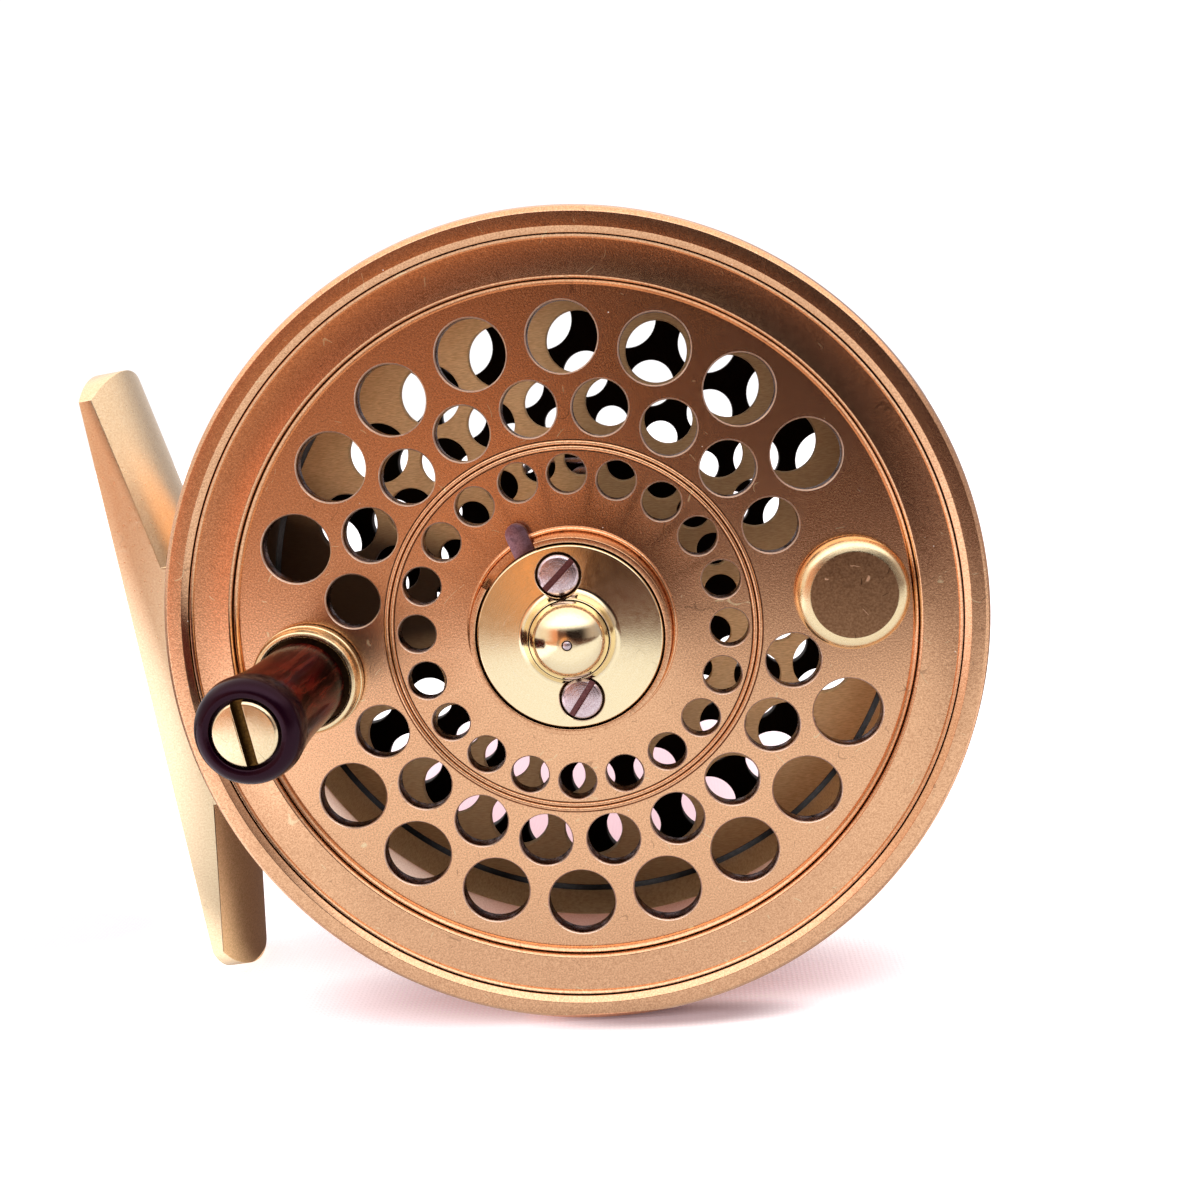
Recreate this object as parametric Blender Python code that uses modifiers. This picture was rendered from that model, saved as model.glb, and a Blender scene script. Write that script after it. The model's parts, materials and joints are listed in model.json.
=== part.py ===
"""A single-action fly reel: perforated spool on a fixed spindle, open cage frame and reel foot.

Lengths are in millimetres times MM, so the scene is in metres. The reel frame used by every function has
its Z axis along the spindle, pointing at the front of the reel, X to the right and Y up, with its origin
where the spindle meets the face of the front flange. World: X right, Z up, the front faces -Y.
"""

import math

import bmesh
import bpy
from mathutils import Matrix, Vector

MM = 0.001
GAP = 0.3

# Placing
RIM_RADIUS = 39.7
AXLE_X = 5.31
AXLE_Z = 39.634
FACE_Y = -6.7
SPOOL_TURN = -3.3
FOOT_TURN = 184.9

# Spool
FLANGE = 1.9
ARBOR_RADIUS = 9.6
REAR_FLANGE_RADIUS = 34.8
REAR_FLANGE_FRONT = -20.5
REAR_FLANGE_BACK = -21.9
REAR_HUB_RADIUS = 8.4
REAR_HUB_BACK = -22.6
TURNED_STEPS = 36
SKIRT_RADIUS = 38.4
SKIRT_BACK = -3.8
BORE_RADIUS = 4.2
BUSH_LENGTH = 4.0
POCKET_RADIUS = 8.35
POCKET_FLOOR = -1.5
LEDGE_Z = 1.6
BOSS_INNER = 9.03
BOSS_OUTER = 9.58
BOSS_TOP = 3.1

# Rings of holes: radius of the ring, radius of a hole, corners of a hole, first angle, and how far from the
# handle and the counterweight the first hole stands, in degrees. Every ring has a pitch of 18 degrees.
HOLE_PITCH = 18
SPOOL_HOLES = (
    (27.94, 3.35, 10, 0, 20),
    (21.59, 2.65, 8, 9, 10),
    (15.22, 1.85, 6, 0, 0),
)
PLATE_HOLES = (
    (31.0, 3.35, 10, 0, 0),
    (24.4, 2.65, 8, 9, 0),
    (19.0, 1.95, 6, 0, 0),
)

# Handle and counterweight, on opposite sides of the front flange. The holes leave room for them at CLEAR_ANGLE.
HANDLE_RING = 26.4
HANDLE_ANGLE = 189.0
WEIGHT_RING = 27.05
WEIGHT_ANGLE = 6.8
CLEAR_ANGLE = 9.0
STUD_RADIUS = 5.4
HANDLE_FRONT = 20.1
HANDLE_BACK = 2.9
HANDLE_RADIUS = 4.7
HANDLE_SCREW_RADIUS = 1.6
HANDLE_HEAD_RADIUS = 2.95

# Radii of the small pins and screw shanks
PIN_RADIUS = 0.7
RING_SCREW_RADIUS = 0.6
PAWL_POST_RADIUS = 0.9
SPRING_POST_RADIUS = 0.45

# Latch under the cover plate
COVER_RADIUS = 8.78
COVER_TOP = 3.15
COVER_UNDER = 1.9
DOME_RADIUS = 4.0
DOME_TOP = 6.9
COVER_SCREW_RING = 6.05
COVER_SCREW_ANGLES = (98.5, 279.0)
COVER_SLOT_TURNS = (46.0, 65.0)
COVER_SCREW_RADIUS = 0.65
COVER_HEAD_RADIUS = 1.98
LEVER_BOTTOM = 0.7
LEVER_TOP = 1.5
LEVER_TAB_ANGLE = 116.8
LEVER_TAB_RADIUS = 11.9
LEVER_TAB_WIDTH = 2.1
LEVER_WINDOW_RADIUS = 3.05
LEVER_WINDOW_OFFSET = 1.15
PIVOT_RING = 6.3
PIVOT_ANGLE = 310.0
SLOT_END = 148.0

# Frame
CUP_INNER = 35.4
CUP_OUTER = 38.0
CUP_FRONT = -14.0
PLATE_FRONT = -28.7
PLATE_BACK = -30.4
RING_INNER = 35.5
RING_OUTER = 37.9
RING_FRONT = -2.3
RING_BACK = -5.3
PILLAR_RING = 36.7
PILLAR_RADIUS = 1.5
PILLAR_ANGLES = (60.0, 125.0, 340.0)
BAR_HALF_ANGLE = 17.0
BAR_SCREW_ANGLE = 11.0
BAR_SCREW_END = -16.4
SPINDLE_RADIUS = 2.4
SPINDLE_BASE_RADIUS = 9.5
SPINDLE_SCREW_RING = 7.4
FOOT_SCREW_YS = (-7.0, 9.0)
FOOT_SCREW_Z = -19.5
FOOT_SCREW_RADIUS = 1.0
FOOT_HEAD_RADIUS = 1.9

# Foot, in the reel frame turned so that +X points from the spindle to the rod
SEAT_X = 47.4
FOOT_ENDS = {1: (35.5, 31.55), -1: (33.1, 30.3)}
FOOT_FRONT = -10.0
FOOT_BACK = -23.4
FOOT_SHOULDER = 4.26
FOOT_TIP = 1.15
FOOT_CROWN = 2.2
PEDESTAL_START = -11.9
PEDESTAL_END = 14.6

# Click mechanism between the rear flange and the back plate
RATCHET_RADIUS = 8.2
RATCHET_FRONT = -22.9
RATCHET_BACK = -24.4
RATCHET_TEETH = 24
RATCHET_SCREW_RING = 6.3
RATCHET_SCREW_START = 30
RATCHET_SCREW_END = -20.0
RATCHET_BORE = 4.9
PAWL_RING = 12.4
PAWL_ANGLE = 262.0
PAWL_TIP = 8.6
SPRING_RING = 15.4
SPRING_HALF_ANGLE = 26.0

for old in list(bpy.data.objects):
    bpy.data.objects.remove(old)

scene = bpy.context.scene
reel = bpy.data.collections.new("fly_reel")
cutters = bpy.data.collections.new("cutters")
scene.collection.children.link(reel)
scene.collection.children.link(cutters)
cutters.hide_render = True


def material(name, colour, roughness, metallic):
    made = bpy.data.materials.new(name)
    made.use_nodes = True
    shader = made.node_tree.nodes["Principled BSDF"]
    shader.inputs["Base Color"].default_value = (*colour, 1.0)
    shader.inputs["Roughness"].default_value = roughness
    shader.inputs["Metallic"].default_value = metallic
    return made


FINISHES = {
    "bronze": ((0.42, 0.22, 0.11), 0.42, 1.0),
    "gold": ((0.83, 0.62, 0.33), 0.3, 1.0),
    "brass": ((0.80, 0.62, 0.30), 0.22, 1.0),
    "steel": ((0.55, 0.50, 0.50), 0.28, 1.0),
    "wood": ((0.16, 0.03, 0.02), 0.25, 0.0),
}


def polar(radius, degrees):
    angle = math.radians(degrees)
    return radius * math.cos(angle), radius * math.sin(angle)


def empty(name, x, y, z, turn=0.0, parent=None):
    """An empty in its parent's reel frame. Without a parent it stands in the world, facing forward."""
    made = bpy.data.objects.new(name, None)
    made.empty_display_size = 5 * MM
    made.location = (x * MM, y * MM, z * MM)
    if parent:
        made.parent = parent
        made.rotation_euler = (0.0, 0.0, math.radians(turn))
    else:
        made.rotation_euler = (math.radians(90), math.radians(-turn), 0.0)
    reel.objects.link(made)
    return made


def add(name, mesh, parent, finish, cutter=False):
    made = bpy.data.objects.new(name, mesh)
    made.parent = parent
    if cutter:
        made.hide_render = True
        made.display_type = "WIRE"
        cutters.objects.link(made)
    else:
        made.data.materials.append(material(name, *FINISHES[finish]))
        reel.objects.link(made)
    return made


def turned(name, profile, parent, finish, steps, x=0.0, y=0.0, cutter=False):
    """A shape turned about Z from (radius, height) points that run down its outer side."""
    mesh = bpy.data.meshes.new(name)
    points = [(radius * MM, 0.0, height * MM) for radius, height in profile]
    count = len(points)
    mesh.from_pydata(points, [(i, (i + 1) % count) for i in range(count)], [])
    made = add(name, mesh, parent, finish, cutter)
    made.location = (x * MM, y * MM, 0.0)
    screw = made.modifiers.new("turn", "SCREW")
    screw.angle = math.radians(360)
    screw.steps = steps
    screw.render_steps = steps
    screw.use_merge_vertices = True
    screw.merge_threshold = 1e-7
    screw.use_smooth_shade = True
    return made


def baked(made):
    """The object with its modifiers turned into mesh, on the axis its profile touches."""
    bpy.context.view_layer.update()
    graph = bpy.context.evaluated_depsgraph_get()
    mesh = bpy.data.meshes.new_from_object(made.evaluated_get(graph))
    made.modifiers.clear()
    made.data = mesh
    shape = bmesh.new()
    shape.from_mesh(mesh)
    bmesh.ops.remove_doubles(shape, verts=shape.verts, dist=1e-6)
    bmesh.ops.recalc_face_normals(shape, faces=shape.faces)
    shape.to_mesh(mesh)
    shape.free()
    return made


def spun(name, profile, parent, finish, steps, x=0.0, y=0.0, cutter=False):
    """A solid turned shape whose profile starts and ends on the axis."""
    return baked(turned(name, profile, parent, finish, steps, x, y, cutter))


def rod(shape, radius, top, bottom, x=0.0, y=0.0, corners=16, spin=0.0):
    """Adds a cylinder along Z to a bmesh."""
    middle = Vector((x, y, (top + bottom) / 2)) * MM
    matrix = Matrix.Translation(middle) @ Matrix.Rotation(math.radians(spin), 4, "Z")
    bmesh.ops.create_cone(
        shape,
        cap_ends=True,
        segments=corners,
        radius1=radius * MM,
        radius2=radius * MM,
        depth=(top - bottom) * MM,
        matrix=matrix,
    )


def block(shape, low, high, turn=0.0):
    """Adds a box between two corners to a bmesh, turned about the Z axis."""
    size = [(b - a) * MM for a, b in zip(low, high)]
    middle = Vector([(a + b) / 2 * MM for a, b in zip(low, high)])
    spin = Matrix.Rotation(math.radians(turn), 4, "Z")
    matrix = spin @ Matrix.Translation(middle) @ Matrix.Diagonal((*size, 1.0))
    bmesh.ops.create_cube(shape, size=1.0, matrix=matrix)


def from_shape(name, shape, parent, finish="bronze", cutter=False):
    mesh = bpy.data.meshes.new(name)
    shape.to_mesh(mesh)
    shape.free()
    return add(name, mesh, parent, finish, cutter)


def boolean(target, other, operation="DIFFERENCE"):
    modifier = target.modifiers.new(other.name, "BOOLEAN")
    modifier.operation = operation
    modifier.object = other
    modifier.solver = "EXACT"


def tool(name, parent, build):
    """A cutter made by a function that fills a bmesh."""
    shape = bmesh.new()
    build(shape)
    return from_shape(name, shape, parent, cutter=True)


def hole_rings(shape, rings, top, bottom):
    """Adds a rod for every hole of the rings, except near the handle and the counterweight."""
    count = 360 // HOLE_PITCH
    for ring, radius, corners, first, clear in rings:
        for index in range(count):
            angle = first + HOLE_PITCH * index
            turn = (angle - CLEAR_ANGLE) % 180
            if min(turn, 180 - turn) < clear:
                continue
            x, y = polar(ring, angle)
            rod(shape, radius, top, bottom, x, y, corners, angle + 4)


# ---------------------------------------------------------------- axes
axle = empty("spool_axis", AXLE_X, FACE_Y, AXLE_Z, SPOOL_TURN)
frame_axis = empty("frame_axis", AXLE_X, FACE_Y, AXLE_Z, FOOT_TURN)
handle_x, handle_y = polar(HANDLE_RING, HANDLE_ANGLE)
handle_axis = empty("handle_axis", handle_x, handle_y, 0.0, parent=axle)
weight_x, weight_y = polar(WEIGHT_RING, WEIGHT_ANGLE)
pivot_x, pivot_y = polar(PIVOT_RING, PIVOT_ANGLE)
latch_axis = empty("latch_axis", pivot_x, pivot_y, 0.0, parent=axle)
pawl_x, pawl_y = polar(PAWL_RING, PAWL_ANGLE)
pawl_axis = empty("pawl_axis", pawl_x, pawl_y, 0.0, PAWL_ANGLE, frame_axis)


# ---------------------------------------------------------------- spool
def spool():
    profile = [
        (BORE_RADIUS, POCKET_FLOOR),
        (POCKET_RADIUS, POCKET_FLOOR),
        (POCKET_RADIUS, LEDGE_Z),
        (BOSS_INNER, LEDGE_Z),
        (BOSS_INNER, BOSS_TOP),
        (BOSS_OUTER, BOSS_TOP),
        (10.15, 0.0),
        (32.7, 0.0),
        (33.0, 0.5),
        (33.3, 1.2),
        (36.7, 1.5),
        (37.1, 2.0),
        (37.7, 2.4),
        (38.6, 2.45),
        (39.3, 1.85),
        (RIM_RADIUS, -0.6),
        (RIM_RADIUS, SKIRT_BACK + 0.5),
        (RIM_RADIUS - 0.4, SKIRT_BACK),
        (SKIRT_RADIUS, SKIRT_BACK),
        (SKIRT_RADIUS, -FLANGE),
        (ARBOR_RADIUS + 0.8, -FLANGE),
        (ARBOR_RADIUS, -FLANGE - 0.8),
        (ARBOR_RADIUS, REAR_FLANGE_FRONT + 0.8),
        (ARBOR_RADIUS + 0.8, REAR_FLANGE_FRONT),
        (REAR_FLANGE_RADIUS, REAR_FLANGE_FRONT),
        (REAR_FLANGE_RADIUS, REAR_FLANGE_BACK),
        (REAR_HUB_RADIUS, REAR_FLANGE_BACK),
        (REAR_HUB_RADIUS, REAR_HUB_BACK),
        (BORE_RADIUS, REAR_HUB_BACK),
    ]
    made = turned("spool", profile, axle, "bronze", TURNED_STEPS)

    def holes(shape):
        hole_rings(shape, SPOOL_HOLES, 1.0, REAR_FLANGE_BACK - 1.0)

    def slot_start(shape):
        side = LEVER_TAB_WIDTH / 2 + GAP
        block(shape, (6.9, -side, GAP), (11.0, 3.2, BOSS_TOP + 1), LEVER_TAB_ANGLE)

    def slot_end(shape):
        block(shape, (6.9, -3.4, GAP), (11.0, 0.0, BOSS_TOP + 1), SLOT_END)

    def threads(shape):
        for angle in COVER_SCREW_ANGLES:
            x, y = polar(COVER_SCREW_RING, angle)
            rod(shape, COVER_SCREW_RADIUS + GAP, 0.0, -4.6, x, y, 10)
        rod(shape, PIN_RADIUS + GAP, 0.0, -3.4, pivot_x, pivot_y, 10)
        rod(shape, HANDLE_SCREW_RADIUS + GAP, 1.0, -3.0, handle_x, handle_y, 12)
        rod(shape, HANDLE_SCREW_RADIUS + GAP, 1.0, -3.0, weight_x, weight_y, 12)
        for index in range(3):
            x, y = polar(RATCHET_SCREW_RING, RATCHET_SCREW_START + 120 * index)
            rod(shape, PIN_RADIUS + GAP, RATCHET_SCREW_END + 0.5, RATCHET_BACK, x, y, 10)

    boolean(made, tool("spool_holes", axle, holes))
    boolean(made, tool("latch_slot_start", axle, slot_start))
    boolean(made, tool("latch_slot_end", axle, slot_end))
    boolean(made, tool("spool_threads", axle, threads))


def bush(name, top, bottom):
    profile = [
        (SPINDLE_RADIUS + GAP, top),
        (BORE_RADIUS - GAP, top),
        (BORE_RADIUS - GAP, bottom),
        (SPINDLE_RADIUS + GAP, bottom),
    ]
    turned(name, profile, axle, "brass", 16)


def counterweight():
    profile = [
        (0.0, 1.95),
        (4.2, 1.95),
        (5.1, 1.55),
        (STUD_RADIUS, 0.9),
        (STUD_RADIUS, GAP),
        (HANDLE_SCREW_RADIUS, GAP),
        (HANDLE_SCREW_RADIUS, -2.2),
        (0.0, -2.2),
    ]
    spun("counterweight", profile, axle, "gold", 20, weight_x, weight_y)


def handle_boss():
    profile = [
        (HANDLE_SCREW_RADIUS + GAP, 1.6),
        (4.45, 1.6),
        (4.45, 2.4),
        (5.05, 2.4),
        (STUD_RADIUS, 2.1),
        (STUD_RADIUS, GAP),
        (HANDLE_SCREW_RADIUS + GAP, GAP),
    ]
    turned("handle_boss", profile, handle_axis, "gold", 20)


def handle_grip():
    bore = HANDLE_SCREW_RADIUS + GAP
    profile = [
        (bore, 19.1),
        (HANDLE_HEAD_RADIUS + GAP, 19.1),
        (HANDLE_HEAD_RADIUS + GAP, HANDLE_FRONT),
        (3.75, HANDLE_FRONT),
        (HANDLE_RADIUS, 19.2),
        (HANDLE_RADIUS, 17.8),
        (4.45, 15.0),
        (4.2, 10.0),
        (4.15, 6.0),
        (4.2, HANDLE_BACK + 0.4),
        (3.9, HANDLE_BACK),
        (bore, HANDLE_BACK),
    ]
    turned("handle_grip", profile, handle_axis, "wood", 16)


def slotted_screw(name, sizes, parent, finish, turn, corners, slot, x=0.0, y=0.0):
    """A cheese-head screw along Z with its slot turned by the given angle.

    The sizes are the radii of its head and shank, and the heights of its top, the underside of its
    head and its end.
    """
    head, shank, top, under, bottom = sizes
    profile = [
        (0.0, top),
        (head - 0.25, top),
        (head, top - 0.25),
        (head, under),
        (shank, under),
        (shank, bottom),
        (0.0, bottom),
    ]
    made = spun(name, profile, parent, finish, corners, x, y)

    def cut(shape):
        half = slot / 2
        block(shape, (-head - 1, -half, top - 0.45), (head + 1, half, top + 1), turn)

    cutter = tool(name + "_slot", parent, cut)
    cutter.location = (x * MM, y * MM, 0.0)
    boolean(made, cutter)


def latch_cover():
    profile = [
        (0.8, DOME_TOP),
        (1.6, DOME_TOP - 0.25),
        (2.7, 6.0),
        (3.6, 4.9),
        (DOME_RADIUS, COVER_TOP + 0.2),
        (DOME_RADIUS + 0.2, COVER_TOP),
        (COVER_RADIUS - 0.25, COVER_TOP),
        (COVER_RADIUS, COVER_TOP - 0.25),
        (COVER_RADIUS, COVER_UNDER),
        (2.9, COVER_UNDER),
        (2.9, 4.4),
        (0.8, 5.6),
    ]
    made = turned("latch_cover", profile, axle, "gold", 24)

    def holes(shape):
        for angle in COVER_SCREW_ANGLES:
            x, y = polar(COVER_SCREW_RING, angle)
            rod(shape, COVER_HEAD_RADIUS + GAP, COVER_TOP + 1, 2.55, x, y, 12)

    def shanks(shape):
        for angle in COVER_SCREW_ANGLES:
            x, y = polar(COVER_SCREW_RING, angle)
            rod(shape, COVER_SCREW_RADIUS + GAP, COVER_TOP, COVER_UNDER - 1, x, y, 10)

    boolean(made, tool("cover_head_holes", axle, holes))
    boolean(made, tool("cover_screw_holes", axle, shanks))


def oil_plug():
    profile = [(0.0, 7.0), (0.35, 6.95), (0.5, 6.7), (0.5, 5.9), (0.0, 5.9)]
    spun("oil_plug", profile, axle, "steel", 12)


def latch_lever():
    to_axle = Vector((-pivot_x, -pivot_y))
    along = to_axle.normalized()
    across = Vector((along.y, -along.x))
    window = to_axle + across * LEVER_WINDOW_OFFSET
    tip_x, tip_y = polar(LEVER_TAB_RADIUS - LEVER_TAB_WIDTH / 2, LEVER_TAB_ANGLE)
    tip = Vector((tip_x - pivot_x, tip_y - pivot_y))
    foot_x, foot_y = polar(4.6, 133.0)
    foot = Vector((foot_x - pivot_x, foot_y - pivot_y))
    bend_x, bend_y = polar(7.6, LEVER_TAB_ANGLE + 2.0)
    bend = Vector((bend_x - pivot_x, bend_y - pivot_y))

    def bar(shape, start, end, width):
        run = end - start
        turn = math.degrees(math.atan2(run.y, run.x))
        middle = (start + end) / 2
        spin = Matrix.Rotation(math.radians(turn), 4, "Z")
        height = (LEVER_TOP + LEVER_BOTTOM) / 2
        thick = LEVER_TOP - LEVER_BOTTOM
        size = Matrix.Diagonal((run.length * MM, width * MM, thick * MM, 1.0))
        place = Matrix.Translation(Vector((middle.x, middle.y, height)) * MM)
        bmesh.ops.create_cube(shape, size=1.0, matrix=place @ spin @ size)

    def disc(shape, centre, radius, corners=16):
        rod(shape, radius, LEVER_TOP, LEVER_BOTTOM, centre.x, centre.y, corners)

    pivot = Vector((0.0, 0.0))
    shape = bmesh.new()
    disc(shape, window, LEVER_WINDOW_RADIUS + 1.3, 28)
    made = from_shape("latch_lever", shape, latch_axis, "steel")
    joined = {
        "lever_eye": lambda shape: disc(shape, pivot, 1.65),
        "lever_neck": lambda shape: bar(shape, pivot, window * 0.6, 2.6),
        "lever_arm": lambda shape: bar(shape, foot, bend, LEVER_TAB_WIDTH),
        "lever_knee": lambda shape: disc(shape, bend, LEVER_TAB_WIDTH / 2),
        "lever_tab": lambda shape: bar(shape, bend, tip, LEVER_TAB_WIDTH),
        "lever_tip": lambda shape: disc(shape, tip, LEVER_TAB_WIDTH / 2),
    }
    for name, build in joined.items():
        boolean(made, tool(name, latch_axis, build), "UNION")

    def openings(shape):
        top = LEVER_TOP + 1
        bottom = LEVER_BOTTOM - 1
        rod(shape, LEVER_WINDOW_RADIUS, top, bottom, window.x, window.y, 24)
        rod(shape, PIN_RADIUS + GAP, top, bottom, corners=12)

    boolean(made, tool("lever_openings", latch_axis, openings))


def latch_pivot():
    profile = [(0.0, 1.6), (PIN_RADIUS, 1.6), (PIN_RADIUS, -3.0), (0.0, -3.0)]
    spun("latch_pivot", profile, latch_axis, "steel", 12)


def coil(name, parent, finish, radius, wire, turns, top, bottom, x=0.0, y=0.0, start=0.0):
    """A coil spring about Z, as a round-wire curve turned into mesh."""
    curve = bpy.data.curves.new(name, "CURVE")
    curve.dimensions = "3D"
    curve.bevel_depth = wire * MM
    curve.bevel_resolution = 1
    curve.use_fill_caps = True
    spline = curve.splines.new("POLY")
    count = int(10 * turns)
    spline.points.add(count)
    for index in range(count + 1):
        share = index / count
        px, py = polar(radius, start + 360 * turns * share)
        height = bottom + wire + (top - bottom - 2 * wire) * share
        spline.points[index].co = (px * MM, py * MM, height * MM, 1.0)
    made = bpy.data.objects.new(name, curve)
    made.parent = parent
    made.location = (x * MM, y * MM, 0.0)
    curve.materials.append(material(name, *FINISHES[finish]))
    reel.objects.link(made)


# ---------------------------------------------------------------- frame
def back_plate():
    profile = [
        (SPINDLE_RADIUS + GAP, PLATE_FRONT),
        (CUP_INNER, PLATE_FRONT),
        (CUP_INNER, CUP_FRONT),
        (CUP_OUTER, CUP_FRONT),
        (CUP_OUTER, PLATE_BACK + 1.2),
        (CUP_OUTER - 1.2, PLATE_BACK),
        (SPINDLE_RADIUS + GAP, PLATE_BACK),
    ]
    made = turned("back_plate", profile, frame_axis, "bronze", TURNED_STEPS)

    def holes(shape):
        hole_rings(shape, PLATE_HOLES, PLATE_FRONT + 1, PLATE_BACK - 1)

    def threads(shape):
        for angle in PILLAR_ANGLES:
            x, y = polar(PILLAR_RING, angle - FOOT_TURN)
            rod(shape, RING_SCREW_RADIUS + GAP, CUP_FRONT + 1, CUP_FRONT - 3.6, x, y, 10)
        rod(shape, PAWL_POST_RADIUS + GAP, PLATE_FRONT + 1, PLATE_BACK - 1, pawl_x, pawl_y, 10)
        for index in range(3):
            x, y = polar(SPINDLE_SCREW_RING, 120 * index)
            rod(shape, PIN_RADIUS + GAP, PLATE_FRONT + 1, PLATE_BACK - 1, x, y, 10)
        for side in (-1, 1):
            x, y = polar(SPRING_RING, PAWL_ANGLE + side * SPRING_HALF_ANGLE)
            rod(shape, SPRING_POST_RADIUS + GAP, PLATE_FRONT + 1, PLATE_BACK - 1, x, y, 10)
            x, y = polar(PILLAR_RING, side * BAR_SCREW_ANGLE)
            rod(shape, RING_SCREW_RADIUS + GAP, CUP_FRONT + 1, BAR_SCREW_END - GAP, x, y, 8)

    boolean(made, tool("plate_holes", frame_axis, holes))
    boolean(made, tool("plate_threads", frame_axis, threads))
    cut_foot_screws(made)


def front_ring():
    profile = [
        (RING_INNER, RING_FRONT),
        (RING_OUTER, RING_FRONT),
        (RING_OUTER, RING_BACK),
        (RING_INNER, RING_BACK),
    ]
    made = turned("front_ring", profile, frame_axis, "bronze", TURNED_STEPS)

    def screws(shape):
        for angle in PILLAR_ANGLES:
            x, y = polar(PILLAR_RING, angle - FOOT_TURN)
            rod(shape, RING_SCREW_RADIUS + GAP, RING_FRONT + 1, RING_BACK - 1, x, y, 10)
        for side in (-1, 1):
            x, y = polar(PILLAR_RING, side * BAR_SCREW_ANGLE)
            rod(shape, RING_SCREW_RADIUS + GAP, RING_FRONT + 1, RING_BACK - 1, x, y, 10)

    boolean(made, tool("ring_screw_holes", frame_axis, screws))


def ring_screw(name, x, y, bottom):
    """A headless screw that comes in from the front ring."""
    top = RING_FRONT + 0.1
    profile = [(0.0, top), (RING_SCREW_RADIUS, top), (RING_SCREW_RADIUS, bottom), (0.0, bottom)]
    spun(name, profile, frame_axis, "steel", 8, x, y)


def pillar(index, angle):
    """A waisted pillar with a spigot in the cup and a threaded bore towards the front ring."""
    x, y = polar(PILLAR_RING, angle - FOOT_TURN)
    top = RING_BACK - GAP
    bottom = CUP_FRONT + GAP
    bore = top - 3.2
    profile = [
        (0.0, bore),
        (RING_SCREW_RADIUS + GAP, bore),
        (RING_SCREW_RADIUS + GAP, top),
        (PILLAR_RADIUS, top),
        (1.25, top - 1.6),
        (1.25, bottom + 1.6),
        (PILLAR_RADIUS, bottom),
        (RING_SCREW_RADIUS, bottom),
        (RING_SCREW_RADIUS, CUP_FRONT - 3.2),
        (0.0, CUP_FRONT - 3.2),
    ]
    spun(f"pillar_{index}", profile, frame_axis, "bronze", 10, x, y)
    ring_screw(f"pillar_screw_{index}", x, y, bore + GAP)


def along_x(shape, radius, start, end, y, z):
    """Adds a cylinder along X to a bmesh."""
    middle = Vector(((start + end) / 2, y, z)) * MM
    bmesh.ops.create_cone(
        shape,
        cap_ends=True,
        segments=12,
        radius1=radius * MM,
        radius2=radius * MM,
        depth=(end - start) * MM,
        matrix=Matrix.Translation(middle) @ Matrix.Rotation(math.radians(90), 4, "Y"),
    )


def cut_foot_screws(target):
    """Radial holes for the foot screws, countersunk at the inside of the cup."""

    def bores(shape):
        for y in FOOT_SCREW_YS:
            along_x(shape, FOOT_SCREW_RADIUS + GAP, 30.0, 45.0, y, FOOT_SCREW_Z)

    def heads(shape):
        for y in FOOT_SCREW_YS:
            along_x(shape, FOOT_HEAD_RADIUS + GAP, 30.0, CUP_INNER + 1.3, y, FOOT_SCREW_Z)

    boolean(target, tool(target.name + "_foot_bores", frame_axis, bores))
    boolean(target, tool(target.name + "_foot_heads", frame_axis, heads))


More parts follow.
